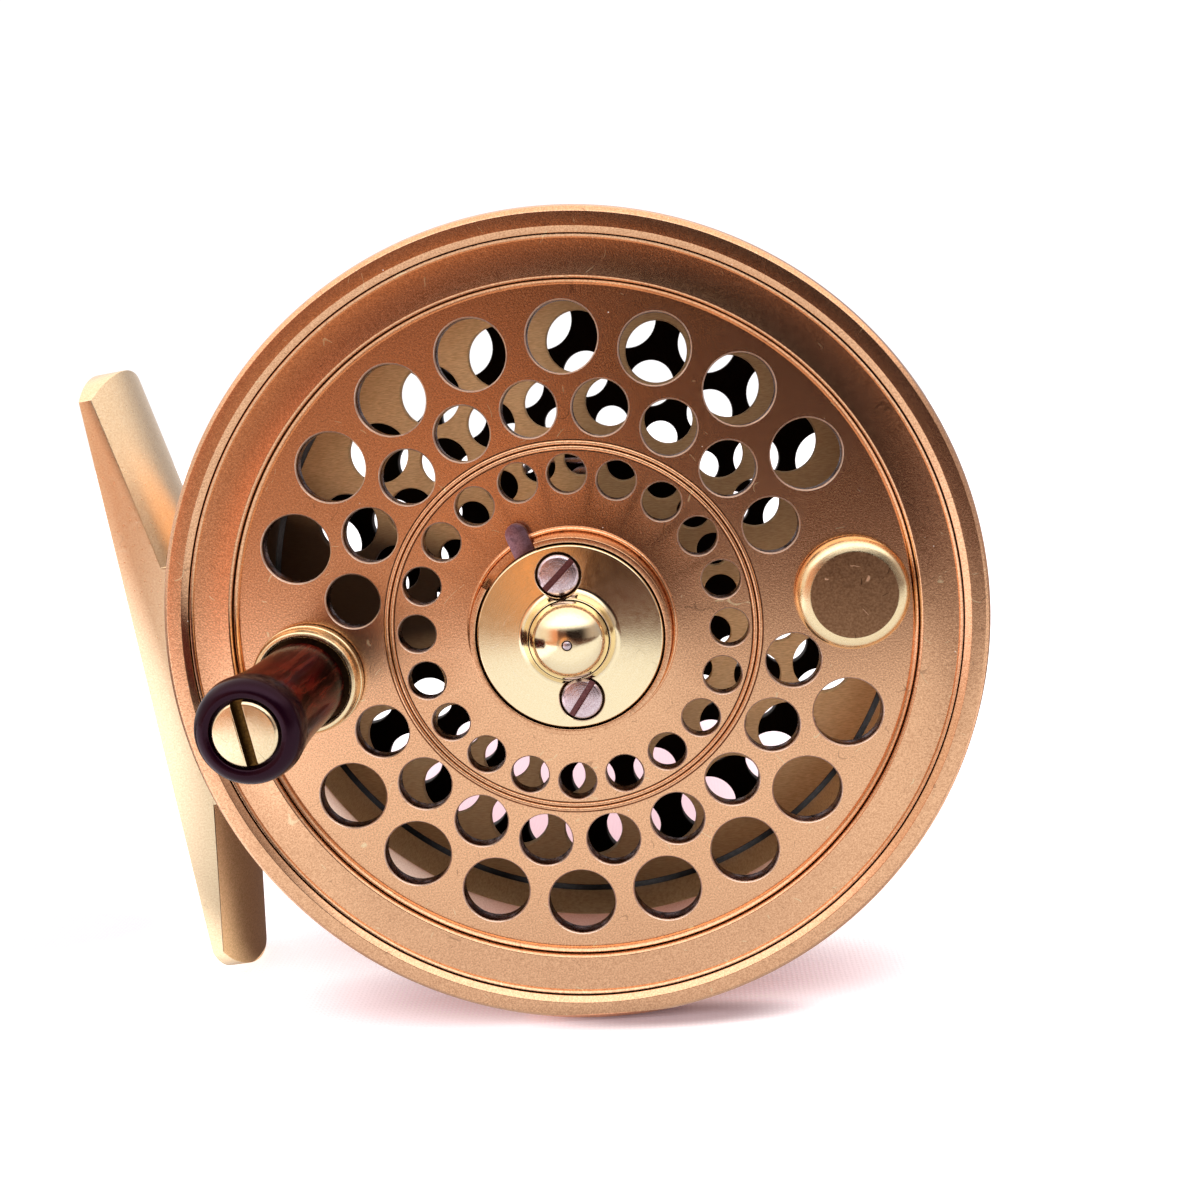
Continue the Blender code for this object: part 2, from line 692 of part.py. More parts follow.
def reel_foot():
    """The foot: a flat seat, ends that taper and round off, and a crowned top that meets the pedestal."""
    half_width = (FOOT_FRONT - FOOT_BACK) / 2
    middle = (FOOT_FRONT + FOOT_BACK) / 2
    outline = []
    for side, (end, corner) in FOOT_ENDS.items():
        tip_bulge = end - corner
        tip_radius = (half_width**2 + tip_bulge**2) / (2 * tip_bulge)
        sweep = math.asin(half_width / tip_radius)
        for step in range(9):
            angle = sweep * (step / 4 - 1)
            along = side * (end - tip_radius + tip_radius * math.cos(angle))
            outline.append((along, middle + side * tip_radius * math.sin(angle)))
    thickness = 14.0
    curve = bpy.data.curves.new("foot_outline", "CURVE")
    curve.dimensions = "2D"
    curve.fill_mode = "BOTH"
    curve.extrude = thickness / 2 * MM
    spline = curve.splines.new("POLY")
    spline.points.add(len(outline) - 1)
    spline.use_cyclic_u = True
    for point, (along, across) in zip(spline.points, outline):
        point.co = (across * MM, along * MM, 0.0, 1.0)
    flat = bpy.data.objects.new("foot_outline", curve)
    reel.objects.link(flat)
    bpy.context.view_layer.update()
    graph = bpy.context.evaluated_depsgraph_get()
    mesh = bpy.data.meshes.new_from_object(flat.evaluated_get(graph))
    bpy.data.objects.remove(flat)
    shape = bmesh.new()
    shape.from_mesh(mesh)
    bmesh.ops.remove_doubles(shape, verts=shape.verts, dist=1e-6)
    stand = Matrix.Rotation(math.radians(-90), 4, "Y")
    shift = Matrix.Translation((SEAT_X * MM - thickness / 2 * MM, 0.0, 0.0))
    bmesh.ops.transform(shape, matrix=shift @ stand, verts=shape.verts)
    bmesh.ops.recalc_face_normals(shape, faces=shape.faces)
    made = from_shape("reel_foot", shape, frame_axis, "gold")

    crown_radius = (half_width**2 + FOOT_CROWN**2) / (2 * FOOT_CROWN)
    shoulder = (PEDESTAL_END - PEDESTAL_START) / 2
    slope = math.atan2(FOOT_SHOULDER - FOOT_TIP, FOOT_ENDS[1][1] - shoulder)
    length = 60.0

    def crown(side):
        def build(shape):
            end = Vector((SEAT_X - FOOT_TIP, side * FOOT_ENDS[1][1], middle))
            along = Vector((math.sin(slope), side * math.cos(slope), 0.0))
            inward = Vector((-math.cos(slope), side * math.sin(slope), 0.0))
            axis_point = end + inward * (FOOT_CROWN - crown_radius) - along * (length / 2 - 8.0)
            spin = Vector((0.0, 0.0, 1.0)).rotation_difference(along).to_matrix().to_4x4()
            bmesh.ops.create_cone(
                shape,
                cap_ends=True,
                segments=64,
                radius1=crown_radius * MM,
                radius2=crown_radius * MM,
                depth=length * MM,
                matrix=Matrix.Translation(axis_point * MM) @ spin,
            )

        return build

    upper = tool("foot_crown", frame_axis, crown(1))
    boolean(upper, tool("foot_crown_2", frame_axis, crown(-1)), "UNION")
    boolean(made, upper, "INTERSECT")

    def pedestal(shape):
        low = (34.0, PEDESTAL_START, FOOT_BACK)
        high = (SEAT_X - FOOT_TIP, PEDESTAL_END, FOOT_FRONT)
        block(shape, low, high)

    boolean(made, tool("foot_pedestal", frame_axis, pedestal), "UNION")

    def cup(shape):
        rod(shape, CUP_OUTER + GAP, 5.0, -40.0, corners=96)

    boolean(made, tool("foot_cup", frame_axis, cup))
    cut_foot_screws(made)


def foot_screw(index, y):
    """A countersunk screw along +X through the cup wall into the pedestal."""
    shape = bmesh.new()
    along_x(shape, FOOT_HEAD_RADIUS, CUP_INNER + 0.35, CUP_INNER + 1.0, y, FOOT_SCREW_Z)
    made = from_shape(f"foot_screw_{index}", shape, frame_axis, "steel")

    def shank(shape):
        along_x(shape, FOOT_SCREW_RADIUS, CUP_INNER + 0.8, 44.0, y, FOOT_SCREW_Z)

    boolean(made, tool(f"foot_shank_{index}", frame_axis, shank), "UNION")


def foot_bar():
    """The bridge from the cup to the front ring that carries the foot."""
    profile = [
        (CUP_INNER + 0.2, RING_BACK - GAP),
        (CUP_OUTER - 0.1, RING_BACK - GAP),
        (CUP_OUTER - 0.1, CUP_FRONT + GAP),
        (CUP_INNER + 0.2, CUP_FRONT + GAP),
    ]
    made = turned("foot_bar", profile, frame_axis, "bronze", TURNED_STEPS)
    half = CUP_OUTER * math.sin(math.radians(BAR_HALF_ANGLE))

    def wedge(shape):
        block(shape, (25.0, -half, CUP_FRONT - 2), (45.0, half, RING_BACK + 2))

    boolean(made, tool("bar_wedge", frame_axis, wedge), "INTERSECT")

    def screw(shape):
        for side in (-1, 1):
            x, y = polar(PILLAR_RING, side * BAR_SCREW_ANGLE)
            rod(shape, RING_SCREW_RADIUS + GAP, RING_BACK + 1, CUP_FRONT - 1, x, y, 10)

    boolean(made, tool("bar_screw_holes", frame_axis, screw))


def spindle():
    """The fixed spindle: a headed neck for the latch, the journal, a base flange and a threaded tail."""
    profile = [
        (0.0, 4.0),
        (1.7, 4.0),
        (SPINDLE_RADIUS, 3.2),
        (SPINDLE_RADIUS, LEVER_TOP + GAP),
        (1.6, LEVER_TOP + GAP),
        (1.6, LEVER_BOTTOM - GAP),
        (SPINDLE_RADIUS, LEVER_BOTTOM - GAP),
        (SPINDLE_RADIUS, PLATE_FRONT + 3.4),
        (3.8, PLATE_FRONT + 2.6),
        (SPINDLE_BASE_RADIUS - 0.6, PLATE_FRONT + 1.9),
        (SPINDLE_BASE_RADIUS, PLATE_FRONT + 1.4),
        (SPINDLE_BASE_RADIUS, PLATE_FRONT + GAP),
        (SPINDLE_RADIUS, PLATE_FRONT + GAP),
        (SPINDLE_RADIUS, PLATE_BACK - 3.0),
        (SPINDLE_RADIUS - 0.4, PLATE_BACK - 3.4),
        (0.0, PLATE_BACK - 3.4),
    ]
    made = spun("spindle", profile, frame_axis, "steel", 16)

    def holes(shape):
        for index in range(3):
            x, y = polar(SPINDLE_SCREW_RING, 120 * index)
            rod(shape, PIN_RADIUS + GAP, PLATE_FRONT + 5, PLATE_FRONT - 1, x, y, 10)

    boolean(made, tool("spindle_holes", frame_axis, holes))
    for index in range(3):
        x, y = polar(SPINDLE_SCREW_RING, 120 * index)
        sizes = (1.3, PIN_RADIUS, PLATE_FRONT + 3.3, PLATE_FRONT + 2.5, PLATE_BACK + 0.2)
        name = f"spindle_screw_{index + 1}"
        slotted_screw(name, sizes, frame_axis, "steel", 40 * index, 8, 0.4, x, y)


def spindle_nut():
    shape = bmesh.new()
    rod(shape, 4.6, PLATE_BACK - GAP, PLATE_BACK - 2.3, corners=6)
    made = from_shape("spindle_nut", shape, frame_axis, "brass")

    def bore(shape):
        rod(shape, SPINDLE_RADIUS + GAP, PLATE_BACK, PLATE_BACK - 4, corners=24)

    boolean(made, tool("nut_bore", frame_axis, bore))


def ratchet_wheel():
    """A toothed disc with symmetrical clicks, held to the rear hub by three screws."""
    shape = bmesh.new()
    rod(shape, RATCHET_RADIUS, RATCHET_FRONT, RATCHET_BACK, corners=2 * RATCHET_TEETH)
    for vertex in shape.verts:
        angle = math.degrees(math.atan2(vertex.co.y, vertex.co.x))
        if round(angle / (180 / RATCHET_TEETH)) % 2:
            vertex.co.xy *= (RATCHET_RADIUS - 0.8) / RATCHET_RADIUS
    made = from_shape("ratchet_wheel", shape, axle, "steel")

    def holes(shape):
        rod(shape, RATCHET_BORE, RATCHET_FRONT + 1, RATCHET_BACK - 1, corners=24)
        for index in range(3):
            x, y = polar(RATCHET_SCREW_RING, RATCHET_SCREW_START + 120 * index)
            rod(shape, PIN_RADIUS + GAP, RATCHET_FRONT + 1, RATCHET_BACK - 1, x, y, 10)

    boolean(made, tool("ratchet_holes", axle, holes))
    profile = [
        (0.0, RATCHET_SCREW_END),
        (PIN_RADIUS, RATCHET_SCREW_END),
        (PIN_RADIUS, RATCHET_BACK - GAP),
        (1.25, RATCHET_BACK - GAP),
        (1.25, RATCHET_BACK - 0.9),
        (0.0, RATCHET_BACK - 0.9),
    ]
    for index in range(3):
        x, y = polar(RATCHET_SCREW_RING, RATCHET_SCREW_START + 120 * index)
        spun(f"ratchet_screw_{index + 1}", profile, axle, "steel", 8, x, y)


def click_pawl():
    """A pointed pawl whose tip stands just clear of the teeth, with its post and its leaf spring."""
    reach = PAWL_RING - PAWL_TIP
    shape = bmesh.new()
    rod(shape, 1.7, RATCHET_FRONT, RATCHET_BACK, corners=16)
    made = from_shape("click_pawl", shape, pawl_axis, "steel")

    def point(shape):
        middle = Vector((-reach / 2, 0.0, (RATCHET_FRONT + RATCHET_BACK) / 2)) * MM
        spin = Matrix.Rotation(math.radians(-90), 4, "Y")
        flat = Matrix.Diagonal((0.5, 1.0, 1.0, 1.0))
        square = Matrix.Rotation(math.radians(45), 4, "Z")
        bmesh.ops.create_cone(
            shape,
            cap_ends=True,
            segments=4,
            radius1=1.6 * math.sqrt(2) * MM,
            radius2=0.35 * math.sqrt(2) * MM,
            depth=reach * MM,
            matrix=Matrix.Translation(middle) @ spin @ flat @ square,
        )

    def hole(shape):
        rod(shape, PAWL_POST_RADIUS + GAP, RATCHET_FRONT + 1, RATCHET_BACK - 1, corners=12)

    boolean(made, tool("pawl_point", pawl_axis, point), "UNION")
    boolean(made, tool("pawl_hole", pawl_axis, hole))
    post = [
        (0.0, RATCHET_FRONT + 0.4),
        (PAWL_POST_RADIUS, RATCHET_FRONT + 0.4),
        (PAWL_POST_RADIUS, RATCHET_BACK - GAP),
        (1.6, RATCHET_BACK - GAP),
        (1.6, PLATE_FRONT + GAP),
        (PAWL_POST_RADIUS, PLATE_FRONT + GAP),
        (PAWL_POST_RADIUS, PLATE_BACK + 0.2),
        (0.0, PLATE_BACK + 0.2),
    ]
    spun("pawl_post", post, pawl_axis, "steel", 14)
    spring_z = (RATCHET_FRONT + RATCHET_BACK) / 2
    curve = bpy.data.curves.new("pawl_spring", "CURVE")
    curve.dimensions = "3D"
    curve.bevel_depth = 0.3 * MM
    curve.bevel_resolution = 1
    curve.use_fill_caps = True
    spline = curve.splines.new("POLY")
    steps = 10
    spline.points.add(steps)
    for index in range(steps + 1):
        share = 2 * index / steps - 1
        ring = SPRING_RING + 1.1 - 1.7 * math.cos(math.radians(90 * share))
        x, y = polar(ring, PAWL_ANGLE + share * SPRING_HALF_ANGLE)
        spline.points[index].co = (x * MM, y * MM, spring_z * MM, 1.0)
    spring = bpy.data.objects.new("pawl_spring", curve)
    spring.parent = frame_axis
    curve.materials.append(material("pawl_spring", *FINISHES["steel"]))
    reel.objects.link(spring)
    for index, side in enumerate((-1, 1)):
        x, y = polar(SPRING_RING, PAWL_ANGLE + side * SPRING_HALF_ANGLE)
        profile = [
            (0.0, RATCHET_FRONT),
            (SPRING_POST_RADIUS, RATCHET_FRONT),
            (SPRING_POST_RADIUS, PLATE_BACK + 0.2),
            (0.0, PLATE_BACK + 0.2),
        ]
        spun(f"spring_post_{index + 1}", profile, frame_axis, "steel", 12, x, y)


# ---------------------------------------------------------------- assembly
spool()
bush("front_bush", POCKET_FLOOR - GAP, POCKET_FLOOR - GAP - BUSH_LENGTH)
bush("rear_bush", REAR_HUB_BACK + 0.2 + BUSH_LENGTH, REAR_HUB_BACK + 0.2)
counterweight()
handle_boss()
handle_grip()
handle_sizes = (HANDLE_HEAD_RADIUS, HANDLE_SCREW_RADIUS, 20.4, 19.5, -2.0)
slotted_screw("handle_screw", handle_sizes, handle_axis, "brass", 98, 16, 0.9)
latch_cover()
cover_sizes = (COVER_HEAD_RADIUS, COVER_SCREW_RADIUS, 3.5, 2.85, -4.2)
for index, (angle, turn) in enumerate(zip(COVER_SCREW_ANGLES, COVER_SLOT_TURNS)):
    x, y = polar(COVER_SCREW_RING, angle)
    slotted_screw(f"cover_screw_{index + 1}", cover_sizes, axle, "steel", turn, 12, 0.45, x, y)
oil_plug()
latch_lever()
latch_pivot()
coil("latch_spring", latch_axis, "steel", 1.35, 0.2, 2.5, 0.3, -1.2)
back_plate()
front_ring()
for index, angle in enumerate(PILLAR_ANGLES):
    pillar(index + 1, angle)
foot_bar()
for index, side in enumerate((-1, 1)):
    x, y = polar(PILLAR_RING, side * BAR_SCREW_ANGLE)
    ring_screw(f"bar_screw_{index + 1}", x, y, BAR_SCREW_END)
reel_foot()
for index, y in enumerate(FOOT_SCREW_YS):
    foot_screw(index + 1, y)
spindle()
spindle_nut()
ratchet_wheel()
click_pawl()
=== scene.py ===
"""Looks of a single-action fly reel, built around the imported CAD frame.

Shapes are made in the reel frame: Z along the spindle, pointing at the front of the reel, X right and Y up,
with the origin where the spindle meets the face of the spool's front flange. Lengths there are millimetres
times MM. World: X right, Z up, the front faces -Y.
"""

import json
import math

import bmesh
import bpy
from mathutils import Matrix, Vector

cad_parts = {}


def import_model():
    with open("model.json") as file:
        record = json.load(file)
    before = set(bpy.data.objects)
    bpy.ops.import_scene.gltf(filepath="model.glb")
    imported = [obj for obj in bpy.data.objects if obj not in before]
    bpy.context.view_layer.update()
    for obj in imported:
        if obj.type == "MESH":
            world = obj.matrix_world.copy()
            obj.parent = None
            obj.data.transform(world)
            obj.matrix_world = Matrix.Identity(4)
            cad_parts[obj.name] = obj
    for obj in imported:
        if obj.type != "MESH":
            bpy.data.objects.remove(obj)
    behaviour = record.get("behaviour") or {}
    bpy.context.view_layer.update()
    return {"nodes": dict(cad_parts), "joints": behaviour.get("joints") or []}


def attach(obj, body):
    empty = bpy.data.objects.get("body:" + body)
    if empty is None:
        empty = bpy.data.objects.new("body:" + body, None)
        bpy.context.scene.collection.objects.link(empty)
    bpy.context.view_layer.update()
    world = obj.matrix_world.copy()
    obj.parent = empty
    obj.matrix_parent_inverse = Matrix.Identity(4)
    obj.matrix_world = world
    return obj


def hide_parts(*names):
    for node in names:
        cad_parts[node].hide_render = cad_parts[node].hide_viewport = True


MM = 0.001
FINE = 288  # steps round the big turned parts
MEDIUM = 96
SMALL = 48
SHARP_ANGLE = math.radians(32)

# Turn of the spool and of the frame about the spindle, in degrees
SPOOL_TURN = -3.3
FOOT_TURN = 184.9

# Rings of holes: radius of the ring, radius of a hole, first angle, angle kept free beside handle and weight
HOLE_PITCH = 18
SPOOL_HOLES = ((27.94, 3.35, 0, 20), (21.59, 2.65, 9, 10), (15.22, 1.85, 0, 0))
PLATE_HOLES = ((31.0, 3.35, 0, 0), (24.4, 2.65, 9, 0), (19.0, 1.95, 0, 0))
HOLE_CHAMFER = 0.13

FLANGE = 1.9
BOSS_OUTER = 9.58
REAR_FRONT = -20.5
REAR_BACK = -21.9
PLATE_FRONT = -28.7
PLATE_BACK = -30.4
CUP_INNER = 35.4
CUP_OUTER = 38.0
CUP_FRONT = -14.0
RING_FRONT = -2.3
RING_BACK = -5.3
PILLAR_RING = 36.7
PILLAR_ANGLES = (60.0, 125.0, 340.0)
CLEAR_ANGLE = 9.0
WEIGHT_RING = 27.05
WEIGHT_ANGLE = 6.8
HANDLE_RING = 26.4
HANDLE_ANGLE = 189.0
COVER_SCREW_RING = 6.05
COVER_SCREWS = ((98.5, 46.0), (279.0, 57.0))
SEAT_X = 47.4
LATCH_PIVOT = (6.3, 310.0)
RATCHET_SCREW_RING = 6.3
SPINDLE_SCREW_RING = 7.4
BAR_SCREW_ANGLE = 11.0
PAWL_ANGLE = 262.0
SPRING_POST_SPREAD = 26.0

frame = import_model()
JOINT_AT = {joint["name"]: Vector(joint["pos_m"]) for joint in frame["joints"]}


# ---------------------------------------------------------------- frames
STAND = Matrix.Rotation(math.radians(90), 4, "X")


def reel_frame(joint, turn):
    """The reel frame at a joint's point, turned about the spindle."""
    return Matrix.Translation(JOINT_AT[joint]) @ STAND @ Matrix.Rotation(math.radians(turn), 4, "Z")


SPOOL = reel_frame("spool_spin", SPOOL_TURN)
FRAME = reel_frame("spool_spin", FOOT_TURN)
HANDLE = reel_frame("handle_spin", SPOOL_TURN)


def polar(radius, degrees):
    """The point of a circle at an angle, as x and y."""
    angle = math.radians(degrees)
    return radius * math.cos(angle), radius * math.sin(angle)


def at(frame_matrix, ring, degrees, height=0.0):
    """A frame moved to a point on a ring."""
    x, y = polar(ring, degrees)
    return frame_matrix @ Matrix.Translation(Vector((x, y, height)) * MM)


# ---------------------------------------------------------------- shapes
def rounded(points, steps=4):
    """A profile whose corners (radius, height, rounding) are replaced by short curves."""
    made = []
    count = len(points)
    for index, point in enumerate(points):
        corner = Vector(point[:2])
        if len(point) == 2:
            made.append(tuple(corner))
            continue
        before = Vector(points[index - 1][:2]) - corner
        after = Vector(points[(index + 1) % count][:2]) - corner
        reach = min(point[2], 0.49 * before.length, 0.49 * after.length)
        start = corner + before.normalized() * reach
        end = corner + after.normalized() * reach
        for step in range(steps + 1):
            share = step / steps
            blend = start * (1 - share) ** 2 + corner * 2 * share * (1 - share) + end * share**2
            made.append(tuple(blend))
    return made


def ellipse(centre, radii, start, end, steps):
    """Points of an elliptical arc in a profile, between two angles in degrees."""
    made = []
    for step in range(steps + 1):
        angle = math.radians(start + (end - start) * step / steps)
        made.append((centre[0] + radii[0] * math.cos(angle), centre[1] + radii[1] * math.sin(angle)))
    return made


def add_lathe(shape, profile, steps, x=0.0, y=0.0, first=0.0):
    """Adds a closed shape turned about Z from (radius, height) points that run down its outer side."""
    rings = []
    for radius, height in profile:
        if radius < 1e-6:
            rings.append([shape.verts.new(Vector((x, y, height)) * MM)] * steps)
            continue
        ring = []
        for step in range(steps):
            dx, dy = polar(radius, first + 360 * step / steps)
            ring.append(shape.verts.new(Vector((x + dx, y + dy, height)) * MM))
        rings.append(ring)
    for upper, lower in zip(rings, rings[1:] + rings[:1]):
        for step in range(steps):
            after = (step + 1) % steps
            corners = (upper[step], lower[step], lower[after], upper[after])
            corners = list(dict.fromkeys(corners))
            if len(corners) > 2:
                shape.faces.new(corners)


def add_pin(shape, x, y, radius, top, end, steps=24):
    """Adds a plain cylinder along Z."""
    add_lathe(shape, [(0.0, top), (radius, top), (radius, end), (0.0, end)], steps, x, y)


def add_prism(shape, outline, bottom, top):
    """Adds an extruded outline of (x, y) points, listed anticlockwise."""
    low = [shape.verts.new(Vector((x, y, bottom)) * MM) for x, y in outline]
    high = [shape.verts.new(Vector((x, y, top)) * MM) for x, y in outline]
    shape.faces.new(list(reversed(low)))
    shape.faces.new(high)
    for index in range(len(outline)):
        after = (index + 1) % len(outline)
        shape.faces.new((low[index], low[after], high[after], high[index]))


def add_box(shape, low, high, matrix=None):
    size = Vector(high) - Vector(low)
    middle = (Vector(high) + Vector(low)) / 2
    place = Matrix.Translation(middle * MM) @ Matrix.Diagonal((*(size * MM), 1.0))
    bmesh.ops.create_cube(shape, size=1.0, matrix=(matrix or Matrix.Identity(4)) @ place)


def add_slab(shape, width, low, high, turn, length=30.0):
    """Adds a long box along X, turned about Z: the cutter of a screw's slot."""
    spin = Matrix.Rotation(math.radians(turn), 4, "Z")
    add_box(shape, (-length / 2, -width / 2, low), (length / 2, width / 2, high), spin)


def sector(inner, outer, start, end, steps=24):
    """The outline of a piece of a ring, anticlockwise."""
    outline = [polar(outer, start + (end - start) * i / steps) for i in range(steps + 1)]
    outline += [polar(inner, end + (start - end) * i / steps) for i in range(steps + 1)]
    return outline


def solid(name, build):
    """A mesh object made by a function that fills a bmesh, with its normals facing out."""
    shape = bmesh.new()
    build(shape)
    bmesh.ops.recalc_face_normals(shape, faces=shape.faces)
    mesh = bpy.data.meshes.new(name)
    shape.to_mesh(mesh)
    shape.free()
    made = bpy.data.objects.new(name, mesh)
    bpy.context.scene.collection.objects.link(made)
    return made


def turned(name, profile, steps=MEDIUM):
    """A solid turned about Z from a profile."""
    return solid(name, lambda shape: add_lathe(shape, rounded(profile), steps))


def settle(made):
    """Applies the object's modifiers to its mesh."""
    bpy.context.view_layer.update()
    graph = bpy.context.evaluated_depsgraph_get()
    mesh = bpy.data.meshes.new_from_object(made.evaluated_get(graph))
    made.modifiers.clear()
    old = made.data
    made.data = mesh
    bpy.data.meshes.remove(old)


def carve(made, build, operation="DIFFERENCE"):
    """Cuts, joins or crosses the object with the shape that build makes in the same frame."""
    other = solid("cutter", build)
    modifier = made.modifiers.new("carve", "BOOLEAN")
    modifier.operation = operation
    modifier.object = other
    modifier.solver = "EXACT"
    settle(made)
    mesh = other.data
    bpy.data.objects.remove(other)
    bpy.data.meshes.remove(mesh)


def bevelled(made, width, segments=3, angle=30):
    modifier = made.modifiers.new("edges", "BEVEL")
    modifier.width = width * MM
    modifier.segments = segments
    modifier.limit_method = "ANGLE"
    modifier.angle_limit = math.radians(angle)
    modifier.use_clamp_overlap = True
    settle(made)


def shaded(made):
    """Smooth shading with sharp edges kept sharp, on a mesh cleaned of slivers and split in triangles."""
    shape = bmesh.new()
    shape.from_mesh(made.data)
    bmesh.ops.dissolve_degenerate(shape, dist=1e-7, edges=shape.edges)
    for face in shape.faces:
        face.smooth = True
    wide = [face for face in shape.faces if len(face.verts) > 4]
    bmesh.ops.triangulate(shape, faces=wide)
    shape.to_mesh(made.data)
    shape.free()
    made.data.set_sharp_from_angle(angle=SHARP_ANGLE)


def place(made, matrix, body, slot, nodes, *materials):
    """Puts a finished piece in the world, on its body, in place of CAD nodes.

    The turn about the spindle goes into the mesh, so that the object's own box stays tight.
    """
    shaded(made)
    base = Matrix.Translation(matrix.translation) @ STAND
    made.data.transform(base.inverted() @ matrix)
    made.matrix_world = base
    made.data.materials.clear()
    for material in materials:
        made.data.materials.append(material)
    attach(made, body)
    if nodes:
        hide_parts(*nodes)
    return made


def hole_places(rings):
    """(x, y, radius) of every hole of the rings, leaving room beside the handle and the weight."""
    made = []
    for ring, radius, first, clear in rings:
        for index in range(360 // HOLE_PITCH):
            angle = first + HOLE_PITCH * index
            turn = (angle - CLEAR_ANGLE) % 180
            if min(turn, 180 - turn) < clear:
                continue
            made.append((*polar(ring, angle), radius))
    return made


def add_bores(shape, places, top, bottom, chamfer=HOLE_CHAMFER):
    """Adds cutters for holes through a plate, flared at both of its faces."""
    for x, y, radius in places:
        wide = radius + chamfer + 0.3
        profile = [
            (0.0, top + 0.3), (wide, top + 0.3), (radius + 0.3 * chamfer, top - 0.7 * chamfer),
            (radius, top - 1.4 * chamfer), (radius, bottom + 1.4 * chamfer),
            (radius + 0.3 * chamfer, bottom + 0.7 * chamfer), (wide, bottom - 0.3),
            (0.0, bottom - 0.3),
        ]
        add_lathe(shape, profile, SMALL if radius > 2 else 36, x, y, 1.7)


def bead(middle, half, base, height, steps=6):
    """Profile points of a half-round ridge round the axis."""
    made = []
    for step in range(steps + 1):
        angle = math.pi * (1 - step / steps)
        made.append((middle + half * math.cos(angle), base + height * math.sin(angle)))
    return made


# ---------------------------------------------------------------- materials
# Painted highlight and painted shade of the turned faces, fixed in the world so that they stay put while the
# spool turns: angle, strength
PAINTED_GLEAMS = (
    (0, 0.7), (20, 0.45), (55, 0.5), (80, 0.5), (105, 1.0), (150, 1.0), (162, 0.06),
    (188, 0.04), (200, 0.65), (240, 0.55), (270, 0.4), (305, 0.7), (330, 1.0), (350, 1.0),
)


class Nodes:
    """A node tree, with short ways to add and link nodes."""

    def __init__(self, tree):
        self.tree = tree

    def node(self, kind, **settings):
        made = self.tree.nodes.new(kind)
        for key, value in settings.items():
            setattr(made, key, value)
        return made

    def feed(self, socket, value):
        """Links an output to the socket, or sets its value. A colour is given without its alpha."""
        if isinstance(value, bpy.types.NodeSocket):
            self.tree.links.new(value, socket)
        elif isinstance(value, tuple):
            socket.default_value = (*value, 1.0)
        else:
            socket.default_value = value

    def math(self, operation, first, second=0.0, third=None):
        made = self.node("ShaderNodeMath", operation=operation)
        self.feed(made.inputs[0], first)
        self.feed(made.inputs[1], second)
        if third is not None:
            self.feed(made.inputs[2], third)
        return made.outputs[0]

    def span(self, value, low, high, start=0.0, end=1.0, kind="LINEAR"):
        """Takes a value from one range to another."""
        made = self.node("ShaderNodeMapRange", interpolation_type=kind)
        for socket, number in zip(made.inputs[1:5], (low, high, start, end)):
            socket.default_value = number
        self.feed(made.inputs[0], value)
        return made.outputs[0]

    def ramp(self, value, low, high):
        """A soft step from 0 to 1."""
        return self.span(value, low, high, kind="SMOOTHSTEP")

    def mix(self, share, first, second):
        """A colour mix."""
        made = self.node("ShaderNodeMix", data_type="RGBA")
        for index, value in ((0, share), (6, first), (7, second)):
            self.feed(made.inputs[index], value)
        return made.outputs[2]

    def blend(self, share, first, second):
        """A mix of two shaders."""
        made = self.node("ShaderNodeMixShader")
        for socket, value in zip(made.inputs, (share, first, second)):
            self.feed(socket, value)
        return made.outputs[0]

    def emission(self, colour):
        """A shader that gives out light."""
        made = self.node("ShaderNodeEmission")
        self.feed(made.inputs["Color"], colour)
        return made.outputs[0]

    def parts(self, vector):
        """A vector's x, y and z."""
        made = self.node("ShaderNodeSeparateXYZ")
        self.feed(made.inputs[0], vector)
        return made.outputs

    def length(self, vector):
        made = self.node("ShaderNodeVectorMath", operation="LENGTH")
        self.feed(made.inputs[0], vector)
        return made.outputs["Value"]


